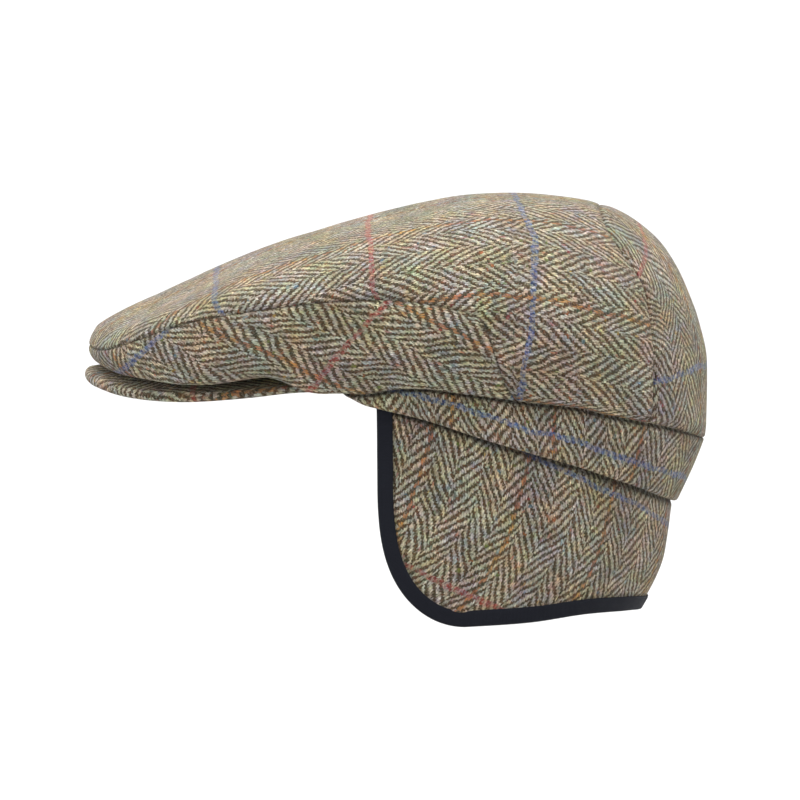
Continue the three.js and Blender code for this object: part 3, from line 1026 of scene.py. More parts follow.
@dataclass(frozen=True)
class Tweed:
    """Herringbone wool tweed with an overcheck of coloured yarns.

    The light warp runs along the cloth's columns and the dark weft across them. A two-and-two
    twill steps one pick for each end and turns back at every column.
    """

    end: float = 0.85
    pick: float = 1.35
    ends_in_column: int = 13
    columns_in_check: int = 4
    picks_in_check: int = 104
    blue_pick: float = 76.0
    red_pick: float = 24.0
    warm_end: float = 29.5
    float_reach: float = 1.45
    light: tuple[tuple[float, str], ...] = (
        (0.28, "998c79"), (0.40, "b6a996"), (0.50, "cec5b1"), (0.60, "adab93"), (0.72, "bca38c"),
    )
    dark: tuple[tuple[float, str], ...] = (
        (0.28, "403223"), (0.40, "61492f"), (0.48, "454431"), (0.58, "6f4e38"), (0.72, "4a4437"),
    )
    flecks: tuple[tuple[float, str], ...] = (
        (0.0, "6e7d41"), (0.2, "a8603a"), (0.36, "b08a3c"), (0.5, "5b7f86"),
        (0.62, "8d3f3f"), (0.76, "9aa7a4"), (0.88, "3f5a45"),
    )
    tints: tuple[tuple[float, str], ...] = (
        (0.30, "8c6f62"), (0.42, "7f8a6a"), (0.52, "a0907c"), (0.62, "74807c"), (0.74, "a08450"),
    )
    rust: str = "9e552e"
    mustard: str = "aa7c3a"
    blues: tuple[tuple[float, str], ...] = ((0.36, "2c3a5e"), (0.50, "4f648f"), (0.64, "8593ad"))
    reds: tuple[tuple[float, str], ...] = ((0.36, "7e2f2f"), (0.50, "98423d"), (0.64, "b6756b"))
    haze: str = "9a9080"
    hairs_laid: tuple[tuple[float, float, float], ...] = (
        (0.9, 0.0, 0.8), (-0.5, 11.0, 0.75), (2.6, 23.0, 0.65),
    )
    stroke_depth: float = 3.1
    flecked_weft: float = 0.04
    flecked_warp: float = 0.06
    bloom: str = "d8cfbe"

    def material(self) -> bpy.types.Material:
        """Writes the material.

        Returns:
            The material.
        """
        g = Graph("herringbone_tweed")
        along, across, spot = self.drift(g)
        ends = g.math("DIVIDE", across, self.end)
        picks = g.math("DIVIDE", along, self.pick)
        end, pick = g.math("FLOOR", ends), g.math("FLOOR", picks)
        odd = g.math("GREATER_THAN", g.math("FRACT", g.math("DIVIDE", ends, 2.0 * self.ends_in_column)), 0.5)
        zigzag = g.math("PINGPONG", ends, float(self.ends_in_column))
        turn = g.math("MULTIPLY", odd, 2.0)
        over = g.math("FLOORED_MODULO", g.total(pick, zigzag, turn), 4.0)
        under = g.math("FLOORED_MODULO", g.total(picks, g.math("FLOOR", zigzag), turn), 4.0)
        warp_height = self.float_height(g, ends, g.math("ABSOLUTE", g.math("SUBTRACT", under, 3.0)))
        weft_height = self.float_height(g, picks, g.math("ABSOLUTE", g.math("SUBTRACT", over, 1.0)))
        weft_up = g.math("LESS_THAN", g.math("MULTIPLY", warp_height, 1.15), weft_height)
        height = g.math("MAXIMUM", g.math("MULTIPLY", weft_height, 0.75), warp_height)
        weft = self.yarn(g, self.dark, across, pick, self.flecked_weft)
        warp = self.yarn(g, self.light, along, end, self.flecked_warp)
        weft, warp = self.overcheck(g, weft, warp, pick, end, spot)
        cloth = g.mix(weft_up, warp, weft)
        strokes = self.strokes(g, along, across, weft_up)
        # painted shade: the yarns darken towards their edges and in the gaps between them, times the random
        # streaks of their fibres
        shade = g.math("MULTIPLY", g.math("MULTIPLY_ADD", height, 0.62, 0.44), strokes)
        cloth = g.mix(1.0, cloth, g.vector(shade, shade, shade), "MULTIPLY")
        cloth = self.hairs(g, cloth, spot)
        cloth = self.blotches(g, cloth, spot)
        # painted shade: the cloth is darkened along its creases, seams, hems and folds
        painted_shade_factor = g.math("SUBTRACT", 1.0, g.crease_shade(), clamp=True)
        cloth = g.mix(1.0, cloth, g.vector(painted_shade_factor, painted_shade_factor, painted_shade_factor), "MULTIPLY")
        g.put(g.shader.inputs["Base Color"], cloth)
        g.shader.inputs["Roughness"].default_value = 0.92
        g.shader.inputs["Specular IOR Level"].default_value = 0.2
        g.shader.inputs["Sheen Weight"].default_value = 0.25
        g.shader.inputs["Sheen Roughness"].default_value = 0.6
        g.shader.inputs["Sheen Tint"].default_value = colour(self.bloom)
        g.bump(g.total(g.math("MULTIPLY", strokes, 0.5), height), 0.5 * MM, 1.0)
        return g.material

    def hairs(self, g: Graph, cloth: Socket, spot: Socket) -> Socket:
        """Lays loose pale hairs over the yarns.

        Args:
            g: The material's graph.
            cloth: The yarns' colour.
            spot: Place on the cloth.

        Returns:
            The colour with its hairs.
        """
        along, across, _ = g.parts(spot)
        for slant, number, strength in self.hairs_laid:
            length = math.hypot(1.0, slant)
            way = g.math("DIVIDE", g.math("MULTIPLY_ADD", across, slant, along), length)
            off = g.math("DIVIDE", g.math("MULTIPLY_ADD", along, -slant, across), length)
            place = g.vector(g.math("MULTIPLY", way, 0.45), g.math("MULTIPLY", off, 1.9), number)
            hair, _ = g.cloud(place, 1.0, 1.0)
            shown = g.math("MULTIPLY", g.math("SUBTRACT", hair, 0.6, clamp=True), 6.0 * strength, clamp=True)
            cloth = g.mix(shown, cloth, colour(self.haze))
        return cloth

    def blotches(self, g: Graph, cloth: Socket, spot: Socket) -> Socket:
        """Shifts the colour in small soft patches, as blended wool does.

        Args:
            g: The material's graph.
            cloth: The colour so far.
            spot: Place on the cloth.

        Returns:
            The shifted colour.
        """
        for scale, strength in ((0.06, 0.75), (0.26, 0.75), (0.6, 0.25)):
            warm, green, light = g.parts(g.cloud(spot, scale, 1.0)[1])
            base = g.math("MULTIPLY_ADD", light, strength * 0.85, 1 - strength * 0.425)
            parts = []
            for up, lift in ((0.75, -0.2), (0.2, 0.35), (-0.8, -0.25)):
                warmer = g.math("MULTIPLY", warm, up * strength)
                greener = g.math("MULTIPLY", green, lift * strength)
                parts.append(g.total(base, warmer, greener, -(up + lift) * strength / 2))
            cloth = g.mix(1.0, cloth, g.vector(*parts), "MULTIPLY")
        broad, _ = g.cloud(spot, 0.04, 2.0)
        tone = g.math("MULTIPLY_ADD", broad, 0.6, 0.675)
        return g.mix(1.0, cloth, g.vector(tone, tone, tone), "MULTIPLY")

    def drift(self, g: Graph) -> tuple[Socket, Socket, Socket]:
        """Places on the cloth, with the weave's small wanderings.

        Args:
            g: The material's graph.

        Returns:
            Places along and across the columns, and the unmoved place as a vector.
        """
        along, across = g.flat_cloth()
        spot = g.vector(along, across)
        slow_x, slow_y, _ = g.parts(g.cloud(spot, 0.045, 1.0)[1])
        fine_x, fine_y, _ = g.parts(g.cloud(spot, 0.7, 2.0)[1])
        mid_x, mid_y, _ = g.parts(g.cloud(spot, 0.17, 1.0)[1])
        along = g.total(along, g.math("MULTIPLY", slow_x, 5.0), g.math("MULTIPLY", fine_x, 2.6), -3.8)
        across = g.total(across, g.math("MULTIPLY", slow_y, 4.0), g.math("MULTIPLY", fine_y, 1.5), -2.75)
        along = g.math("MULTIPLY_ADD", g.math("SUBTRACT", mid_x, 0.5), 2.6, along)
        across = g.math("MULTIPLY_ADD", g.math("SUBTRACT", mid_y, 0.5), 2.0, across)
        return along, across, spot

    def strokes(self, g: Graph, along: Socket, across: Socket, weft_up: Socket) -> Socket:
        """Light and dark streaks of the yarns' twisted fibres.

        Args:
            g: The material's graph.
            along: Place along the columns.
            across: Place across the columns.
            weft_up: 1 where the weft is on top.

        Returns:
            How light they are, about 1.
        """
        slant = 0.35
        warp_long = g.math("MULTIPLY_ADD", across, slant, along)
        warp_wide = g.math("MULTIPLY_ADD", along, -slant, across)
        warp_place = g.vector(g.math("MULTIPLY", warp_long, 0.45), g.math("MULTIPLY", warp_wide, 1.5))
        warp, _ = g.cloud(warp_place, 1.0, 2.0)
        weft_long = g.math("MULTIPLY_ADD", along, slant, across)
        weft_wide = g.math("MULTIPLY_ADD", across, -slant, along)
        weft_place = g.vector(g.math("MULTIPLY", weft_wide, 1.5), g.math("MULTIPLY", weft_long, 0.6), 5.0)
        weft, _ = g.cloud(weft_place, 1.0, 2.0)
        chosen = g.total(
            g.math("MULTIPLY", weft, weft_up), g.math("MULTIPLY", warp, g.math("SUBTRACT", 1.0, weft_up)),
        )
        streak = g.math("MULTIPLY_ADD", g.math("SUBTRACT", chosen, 0.5), self.stroke_depth, 1.0)
        return g.math("MINIMUM", g.math("MAXIMUM", streak, 0.3), 1.7)

    def float_height(self, g: Graph, count: Socket, away: Socket) -> Socket:
        """Height of a yarn where it floats over two others, like a long rounded lens.

        Args:
            g: The material's graph.
            count: Place across the yarns, counted in yarns.
            away: Distance along the yarn from the middle of its float, counted in crossings.

        Returns:
            The height, from 0 to 1.
        """
        side = g.math("MULTIPLY_ADD", g.math("FRACT", count), 2.0, -1.0)
        reach = g.math("MULTIPLY", away, 1 / self.float_reach)
        spread = g.math("MULTIPLY_ADD", side, side, g.math("MULTIPLY", reach, reach))
        return g.math("SQRT", g.math("SUBTRACT", 1.0, g.math("MULTIPLY", spread, 0.8), clamp=True))

    def yarn(
        self, g: Graph, shades: Sequence[tuple[float, str]], along: Socket, number: Socket, flecked: float
    ) -> Socket:
        """Colour of one set of yarns.

        Args:
            g: The material's graph.
            shades: The yarn's shades.
            along: Place along the yarn.
            number: The yarn's number.
            flecked: Share of its length that is flecked.

        Returns:
            The colour.
        """
        place = g.vector(g.math("MULTIPLY", along, 0.32), g.math("MULTIPLY", number, 7.77))
        marl, _ = g.cloud(place, 1.0, 3.0)
        base = g.ramp(marl, shades)
        other_place = g.vector(g.math("MULTIPLY", along, 0.2), g.math("MULTIPLY", number, 3.31), 9.0)
        other, _ = g.cloud(other_place, 1.0, 2.0)
        base = g.mix(0.14, base, g.ramp(other, self.tints), "MULTIPLY")
        start = g.math("MULTIPLY_ADD", number, 0.37, g.math("DIVIDE", along, 3.3))
        stretch = g.math("FLOOR", start)
        chance = g.chance(g.vector(stretch, number, 1.5))
        tint = g.ramp(g.chance(g.vector(stretch, number, 8.5)), self.flecks, sharp=True)
        ends = g.math("SINE", g.math("MULTIPLY", g.math("FRACT", start), math.pi))
        shown = g.math("MULTIPLY", g.math("LESS_THAN", chance, flecked), g.math("MULTIPLY", ends, 0.75))
        return g.mix(shown, base, tint)

    def overcheck(
        self, g: Graph, weft: Socket, warp: Socket, pick: Socket, end: Socket, spot: Socket
    ) -> tuple[Socket, Socket]:
        """Swaps in the coloured yarns of the check.

        Args:
            g: The material's graph.
            weft: The weft's colour.
            warp: The warp's colour.
            pick: The pick's number.
            end: The end's number.
            spot: Place on the cloth.

        Returns:
            The weft's and the warp's colours.
        """
        def near(number: Socket, repeat: float, middle: float, half: float) -> Socket:
            """1 on the yarns of one line of the check."""
            place = g.math("FLOORED_MODULO", number, repeat)
            return g.math("LESS_THAN", g.math("ABSOLUTE", g.math("SUBTRACT", place, middle)), half)

        picks, ends = float(self.picks_in_check), float(self.ends_in_column * self.columns_in_check)
        wander, _ = g.cloud(spot, 0.06, 2.0)
        warm = g.ramp(wander, ((0.4, self.rust), (0.62, self.mustard)))
        worn, _ = g.cloud(spot, 0.35, 2.0)
        shown = g.math("MULTIPLY", g.math("SUBTRACT", worn, 0.26, clamp=True), 6.0, clamp=True)
        mottle, _ = g.cloud(spot, 1.0, 1.0)
        for middle, shades in ((self.blue_pick, self.blues), (self.red_pick, self.reds)):
            line = g.math("MULTIPLY", near(pick, picks, middle + 0.5, 1.1), shown)
            tint = g.ramp(mottle, shades)
            weft = g.mix(g.math("MULTIPLY", line, 0.9), weft, tint)
            warp = g.mix(g.math("MULTIPLY", line, 0.5), warp, tint)
        warp = g.mix(g.math("MULTIPLY", near(end, ends, self.warm_end, 1.3), 0.84), warp, warm)
        return weft, warp


@dataclass(frozen=True)
class BindingTape:
    """Navy woven tape with fine ribs across it, their crests painted lighter as highlight."""

    rib: float = 0.62
    navy: str = "0b0d14"
    # the lighter navy, painted on the ribs' crests as highlight and in random flecks of fuzz
    light: str = "161925"

    def material(self) -> bpy.types.Material:
        """Writes the material.

        Returns:
            The material.
        """
        g = Graph("navy_binding_tape")
        along, across = g.flat_cloth()
        spot = g.vector(along, across)
        wobble, _ = g.cloud(spot, 1.1, 2.0)
        ribs = g.math("MULTIPLY_ADD", wobble, 0.35, g.math("DIVIDE", along, self.rib))
        wave = g.math("SINE", g.math("MULTIPLY", ribs, 2 * math.pi))
        height = g.math("MULTIPLY_ADD", wave, 0.5, 0.5)
        fuzz, _ = g.cloud(spot, 3.5, 3.0)
        # painted highlight on the ribs' crests, with random tone from the fuzz
        shade = g.math("MULTIPLY_ADD", height, 0.35, g.math("MULTIPLY", fuzz, 0.6), clamp=True)
        g.put(g.shader.inputs["Base Color"], g.mix(shade, colour(self.navy), colour(self.light)))
        g.shader.inputs["Roughness"].default_value = 0.75
        g.shader.inputs["Specular IOR Level"].default_value = 0.2
        g.shader.inputs["Sheen Weight"].default_value = 0.03
        g.bump(g.math("MULTIPLY_ADD", fuzz, 0.5, height), 0.12 * MM, 0.7)
        return g.material


# ---------------------------------------------------------------- crown


@dataclass
class Crown:
    """The top panel, the two side panels and the back panel, sewn together."""

    tweed: bpy.types.Material
    wall: float = 1.25
    relief: ClothRelief = field(default_factory=lambda: ClothRelief(wrinkle_depth=1.3))
    side_grain: float = 34.0
    side_cut: Cut = Cut(along=65.9, across=6.0, weft_lean=0.28, lean_middle=110.0)
    back_cut: Cut = Cut(along=75.0, across=0.0)
    back_sag: float = 0.5
    top_ease: float = 0.11
    # painted shade along the seams and the hems: how wide it reaches and how dark it is
    seam_painted_shade: tuple[float, float] = (0.9, 0.62)
    hem_painted_shade: tuple[float, float] = (1.1, 0.7)

    def build(self) -> list[bpy.types.Object]:
        """Makes the four panels.

        Returns:
            The panels.
        """
        panels = [self.top_panel(), self.side_panel(1), self.side_panel(-1), self.back_panel()]
        for panel in panels:
            finish_piece(panel, "tweed", self.tweed, panel.name.removesuffix("_cloth"))
        return panels

    def side_seam_line(self) -> Array:
        """Points along the whole seam over both side panels."""
        degrees = np.linspace(-CROWN.side_foot(), CROWN.side_foot(), 700)
        return CROWN.point(degrees, CROWN.side_seam_rise(degrees))

    def back_seam_line(self) -> Array:
        """Points along the seam round the back panel.

        Returns:
            The points, up the left side and down the right.
        """
        rises = CROWN.seam_head() * (1 - clustered(260, 2.2)[::-1])
        degrees = CROWN.back_seam_angle(rises)
        left = CROWN.point(degrees, rises)
        return np.concatenate([left, left[::-1] * MIRRORED])

    def hem_line(self, start: float, end: float) -> Array:
        """Points along the hem between two angles."""
        degrees = np.linspace(start, end, 200)
        return CROWN.point(degrees, np.zeros(200))

    def top_panel(self) -> bpy.types.Object:
        """The long panel from the peak over the head and down both sides.

        Returns:
            The panel.
        """
        foot_angle, head_rise, pole = CROWN.seam_foot(), CROWN.seam_head(), float(CROWN.pole_rise)
        near_seam = foot_angle - 6 * clustered(7)[::-1]
        turning = np.linspace(84, 96, 22)
        front, rear = np.linspace(0, 84, 58)[:-1], np.linspace(96, foot_angle - 6, 24)[1:-1]
        half = np.concatenate([front, turning, rear, near_seam])
        columns = np.concatenate([-half[:0:-1], half])
        levels = np.concatenate([
            0.35 * clustered(8), np.linspace(0.35, 5.0, 52)[1:], np.linspace(5.0, head_rise - 0.3, 20)[1:-1],
            head_rise - 0.3 * clustered(10)[::-1], head_rise + 0.3 * clustered(10)[1:],
            np.linspace(head_rise + 0.3, pole, 12)[1:],
        ])
        level, angle = np.meshgrid(levels, columns, indexing="ij")
        side_foot = CROWN.side_foot()
        foot = CROWN.side_seam_rise(angle) * (np.abs(angle) < side_foot)
        rise = foot + (pole - foot) * level / pole
        pull = smooth(80, foot_angle, np.abs(angle))
        seam = CROWN.back_seam_angle(np.minimum(rise, head_rise))
        turned = np.sign(angle) * (np.abs(angle) + (seam - foot_angle) * pull)
        seams = [self.side_seam_line(), self.back_seam_line()]
        hems = [self.hem_line(side_foot, foot_angle), self.hem_line(-side_foot, -foot_angle)]
        return self.panel("top_panel_cloth", turned, rise, self.top_weave, self.top_eased, seams, hems)

    def side_panel(self, side: int) -> bpy.types.Object:
        """The low panel beside the peak and round the front.

        Args:
            side: 1 on the left, -1 on the right.

        Returns:
            The panel.
        """
        columns = np.concatenate([
            3 * clustered(7), np.linspace(3, 80, 66)[1:], np.linspace(80, 92.4, 26)[1:], [92.9, 93.3, 93.55],
        ])
        shares = np.concatenate([
            0.05 * clustered(4), np.linspace(0.05, 0.93, 42)[1:], 1 - 0.07 * clustered(9)[::-1][1:],
        ])
        share, angle = np.meshgrid(shares, columns, indexing="ij")
        rise = share * CROWN.side_seam_rise(angle)
        middle = CROWN.point(np.zeros(60), np.linspace(0, 3, 60))
        name = "side_panel_left_cloth" if side > 0 else "side_panel_right_cloth"
        seams, hems = [self.side_seam_line(), middle], [self.hem_line(40 * side, CROWN.side_foot() * side)]
        return self.panel(name, side * angle, rise, self.side_weave, self.side_cut.place, seams, hems)

    def back_panel(self) -> bpy.types.Object:
        """The upright panel down the back of the head.

        Returns:
            The panel.
        """
        head = CROWN.seam_head()
        rises = np.concatenate([
            0.3 * clustered(6), np.linspace(0.3, 5.0, 56)[1:], np.linspace(5.0, head - 0.3, 18)[1:-1],
            head - 0.3 * clustered(14)[::-1],
        ])
        edge = clustered(7) * 0.14
        shares = np.concatenate([-1 + edge, np.linspace(-0.86, 0.86, 56)[1:-1], (1 - edge)[::-1]])
        share, rise = np.meshgrid(shares, rises, indexing="xy")
        angle = 180 - share * (180 - CROWN.back_seam_angle(rise))
        foot = CROWN.seam_foot()
        seams, hems = [self.back_seam_line()], [self.hem_line(foot, 360 - foot)]
        return self.panel("back_panel_cloth", angle, rise, self.back_weave, self.back_eased, seams, hems)

    def panel(
        self, name: str, degrees: Array, rise: Array, rough: Callable[[Array], Array],
        cut: Callable[[Array], Array], seams: list[Array], hems: list[Array],
    ) -> bpy.types.Object:
        """Makes one panel of the crown.

        Args:
            name: The panel's name.
            degrees: Angle of each point of its grid.
            rise: Rise of each point.
            rough: Lays the grid roughly flat.
            cut: Gives the flat panel its place on the cloth.
            seams: Lines along which it is sewn to other panels.
            hems: Lines along which its lower edge rolls in.

        Returns:
            The panel.
        """
        degrees = (degrees + 180) % 360 - 180
        points = CROWN.point(degrees, rise)
        normals = CROWN.normal(degrees, rise)
        lines = [np.concatenate([densely(line) for line in group]) for group in (seams, hems)]
        cloth = self.relief.shape(points, normals, *lines)
        flat = cut(flatten(points, rough(points)))
        piece = sheet_piece(name, cloth, flat, normals, self.wall)
        # painted shade along the seams and the hems
        paint_shade_in_creases(piece, [(lines[0], *self.seam_painted_shade), (lines[1], *self.hem_painted_shade)])
        return piece

    def top_weave(self, points: Array) -> Array:
        """Lays the top panel roughly flat: columns run from front to back, along the centre line.

        Args:
            points: The panel's smooth form.

        Returns:
            Rough places on the flat cloth.
        """
        y, z, length = CROWN.spine()
        x = points[..., 0]
        fall = np.interp(points[..., 1], y, z) - points[..., 2]
        chord = np.hypot(x, fall)
        slant = np.arctan2(fall, np.abs(x))
        across = np.sign(x) * chord * (1 + 0.11 * np.sin(2 * slant) ** 2)
        return np.stack([np.interp(points[..., 1], y, length), across], -1)

    def top_eased(self, flat: Array) -> Array:
        """Pulls the top panel's yarns as its back was eased over the head.

        Args:
            flat: The panel laid flat.

        Returns:
            Its places on the cloth.
        """
        along, across = flat[..., 0], flat[..., 1]
        side = np.sign(across) * smooth(0, 50, np.abs(across))
        back = smooth(320, 380, along)
        reach = np.hypot(across, 20.0)
        belly = 2.2 * np.exp(-(((np.abs(across) - 116) / 22) ** 2)) - 1.5 * np.exp(-((across / 40) ** 2))
        eased = along + (belly - self.top_ease * (reach - 95)) * back
        return np.stack([eased, across + side * self.top_ease * np.maximum(0, along - 330)], -1)

    def back_eased(self, flat: Array) -> Array:
        """Pulls the back panel's weft down at both sides of its rounded head.

        Args:
            flat: The panel laid flat.

        Returns:
            Its places on the cloth.
        """
        along, across = flat[..., 0], flat[..., 1]
        sag = self.back_sag * (np.hypot(across, 15.0) - 15.0) * smooth(35, 75, along)
        return self.back_cut.place(np.stack([along + sag, across], -1))

    def side_weave(self, points: Array) -> Array:
        """Lays a side panel roughly flat: columns run down towards the back.

        Args:
            points: The panel's smooth form.

        Returns:
            Rough places on the flat cloth.
        """
        middle = points.shape[0] // 2
        along = self.lengths(points[middle:middle + 1], 1)
        top = points[-1:, :, 2]
        down = self.lengths(points[::-1], 0)[::-1]
        height = top - down
        angle = math.radians(self.side_grain)
        across = along * math.sin(angle) + height * math.cos(angle)
        return np.stack([along * math.cos(angle) - height * math.sin(angle), across], -1)

    def back_weave(self, points: Array) -> Array:
        """Lays the back panel roughly flat: columns run upright.

        Args:
            points: The panel's smooth form.

        Returns:
            Rough places on the flat cloth.
        """
        middle = points.shape[1] // 2
        up = self.lengths(points[:, middle:middle + 1], 0) + 0 * points[..., 0]
        across = self.lengths(points, 1)
        return np.stack([up, across - across[:, middle:middle + 1]], -1)

    @staticmethod
    def lengths(points: Array, axis: int) -> Array:
        """Length walked along a grid's rows or columns.

        Args:
            points: The grid.
            axis: The axis walked along.

        Returns:
            The length at each point.
        """
        steps = np.linalg.norm(np.diff(points, axis=axis), axis=-1)
        start = np.zeros_like(np.take(steps, [0], axis=axis))
        return np.concatenate([start, np.cumsum(steps, axis=axis)], axis=axis)


# ---------------------------------------------------------------- peak


@dataclass
class Peak:
    """The short stiff peak under the front of the crown, covered in cloth."""

    tweed: bpy.types.Material
    half_width: float = 71.0
    root_y: float = -55.0
    tip_y: float = -158.5
    fullness: float = 2.35
    inner_turn: float = 54.6
    thick: float = 5.0
    corner_thick: float = 3.2
    ripple: float = 0.35
    heights: Rows = Rows(
        ("turn", "outer_z", "inner_z"),
        (
            (0, 25.6, 34.0), (20, 21.7, 32.0), (40, 17.6, 28.7),
            (60, 16.2, 25.0), (75, 18.0, 22.6), (90, 20.6, 20.6),
        ),
    )

    def build(self) -> bpy.types.Object:
        """Makes the peak.

        Returns:
            The peak.
        """
        turns = np.linspace(-90, 90, 241)
        sections, weave = [], []
        for turn in turns:
            section, flat = self.section(float(turn))
            sections.append(section)
            weave.append(flat)
        piece = tube_piece("peak_cloth", np.array(sections), np.array(weave))
        finish_piece(piece, "tweed", self.tweed, "peak")
        return piece

    def section(self, turn: float) -> tuple[Array, Array]:
        """One section from the brow out to the edge and back underneath.

        Args:
            turn: 0 at the tip and 90 at the temple.

        Returns:
            Its points, and their places on the flat cloth.
        """
        angle = math.radians(turn)
        outer_z = float(self.heights.curve("outer_z", np.array(turn)))
        inner_z = float(self.heights.curve("inner_z", np.array(turn)))
        along = max(0.0, math.cos(angle))
        across = math.copysign((1 - along**self.fullness) ** (1 / self.fullness), turn)
        outer_y = self.root_y + (self.tip_y - self.root_y) * along
        outer = np.array([self.half_width * across, outer_y, outer_z])
        turned = angle * self.inner_turn / 90
        inner_y = HEAD.middle() - HEAD.half_length() * math.cos(turned)
        inner = np.array([HEAD.half_width * math.sin(turned), inner_y, inner_z])
        half = (self.thick + (self.corner_thick - self.thick) * (turn / 90) ** 2) / 2
        length = float(np.linalg.norm(inner - outer))
        nose = min(half * 1.1, length / 3)
        way = (inner - outer) / length
        flank = np.linspace(length, nose, 22)
        bend = np.radians(np.linspace(90, -90, 17))[1:-1]
        inward = np.concatenate([flank, nose * (1 - np.cos(bend)), flank[::-1]])
        lift = np.concatenate([np.full(22, half), half * np.sin(bend), np.full(22, -half)])
        points = outer + inward[:, None] * way + lift[:, None] * np.array([0, 0, 1.0])
        points[:, 2] += [self.ripple * noise.noise(Vector(spot) / 22) for spot in points]
        length_in = np.concatenate([[0], np.cumsum(np.hypot(np.diff(inward), np.diff(lift)))])
        flat_way = (outer - inner)[:2] / max(1e-6, float(np.linalg.norm((outer - inner)[:2])))
        flat = inner[:2] + length_in[:, None] * flat_way
        return points, flat[:, ::-1]


# ---------------------------------------------------------------- band


@dataclass
class Band:
    """The slanting band of folded cloth under the crown, round the sides and the back."""

    tweed: bpy.types.Material
    inner: float = 2.9
    outer: float = 5.4
    tuck: float = 6.0
    swell: float = 0.5
    groove: float = 1.3
    groove_height: float = 0.9
    slack: float = 0.3
    # painted shade on the band under the crown's hem: how wide it reaches and how dark it is
    crease_shade: tuple[float, float] = (1.5, 0.75)
    cut: Cut = Cut(along=92.5, across=5.2)
    rows: Rows = Rows(
        ("angle", "bottom_z", "lean", "flare"),
        (
            (48.5, 18.3, 0.10, 0.4), (50.5, 16.6, 0.10, 0.4), (53, 14.2, 0.10, 0.3),
            (58, 11.8, 0.11, 0.2), (66, 8.6, 0.12, 0.0), (85, -1.0, 0.15, 0.0),
            (100, -7.3, 0.19, 0.1), (115, -12.8, 0.26, 0.3), (130, -18.6, 0.33, 0.8),
            (143, -23.0, 0.38, 1.2), (155, -27.0, 0.41, 1.4), (180, -31.0, 0.43, 1.5),
        ),
    )

    def bottom(self, degrees: Array) -> Array:
        """Height of the band's folded lower edge."""
        return self.rows.curve("bottom_z", degrees, Ends.FREE)

    def build(self) -> bpy.types.Object:
        """Makes the band.

        Returns:
            The band.
        """
        end = float(self.rows.column("angle")[0])
        turns = np.linspace(end, 360 - end, 420)
        degrees = (turns + 180) % 360 - 180
        down = np.linspace(0, 1, 60)
        hem, bottom = CROWN.hem_z(degrees), self.bottom(degrees)
        top = hem + self.tuck
        lean, flare = (self.rows.curve(name, degrees, Ends.FREE) for name in ("lean", "flare"))
        half = (self.outer - self.inner) / 2
        bend = np.radians(np.linspace(0, 180, 13))[1:-1]
        sections, weave = [], []
        around = walked(HEAD.place(degrees, HEAD.radius(degrees, self.outer), 0.0))
        for i, angle in enumerate(degrees):
            straight = top[i] + (bottom[i] + half - top[i]) * down
            share = np.clip((hem[i] - straight) / max(1.0, hem[i] - bottom[i]), 0, 1)
            puff = self.swell * np.sin(math.pi * share)
            z = np.concatenate([straight, bottom[i] + half * (1 - np.sin(bend)), straight[::-1]])
            offset = np.concatenate([
                self.outer + puff, (self.outer + self.inner) / 2 + half * np.cos(bend),
                np.full(len(straight), self.inner),
            ])
            offset = offset + flare[i] - self.groove * smooth(-self.groove_height, 0.3, z - hem[i])
            radius = HEAD.radius(np.full(len(z), angle), offset) - lean[i] * np.maximum(0, hem[i] - z)
            points = HEAD.place(np.full(len(z), angle), radius, z)
            slack = [self.slack * noise.noise(Vector(spot) / 24) for spot in points]
            below = np.clip((hem[i] - z) / 4, 0, 1) * (offset > self.outer + flare[i] - half)
            radius = radius + np.array(slack) * below
            sections.append(HEAD.place(np.full(len(z), angle), radius, z))
            length = walked(sections[-1])
            fold = length[len(straight) + len(bend) // 2]
            across = np.full(len(z), around[-1] / 2 - around[i])
            weave.append(self.cut.place(np.stack([fold - length, across], -1)))
        piece = tube_piece("band_cloth", np.array(sections), np.array(weave))
        # painted shade on the band just under the crown's hem
        under = HEAD.place(degrees, HEAD.radius(degrees, self.outer + flare - self.groove), hem - 0.3)
        paint_shade_in_creases(piece, [(densely(under), *self.crease_shade)])
        finish_piece(piece, "tweed", self.tweed, "band")
        return piece


# ---------------------------------------------------------------- flap and its binding


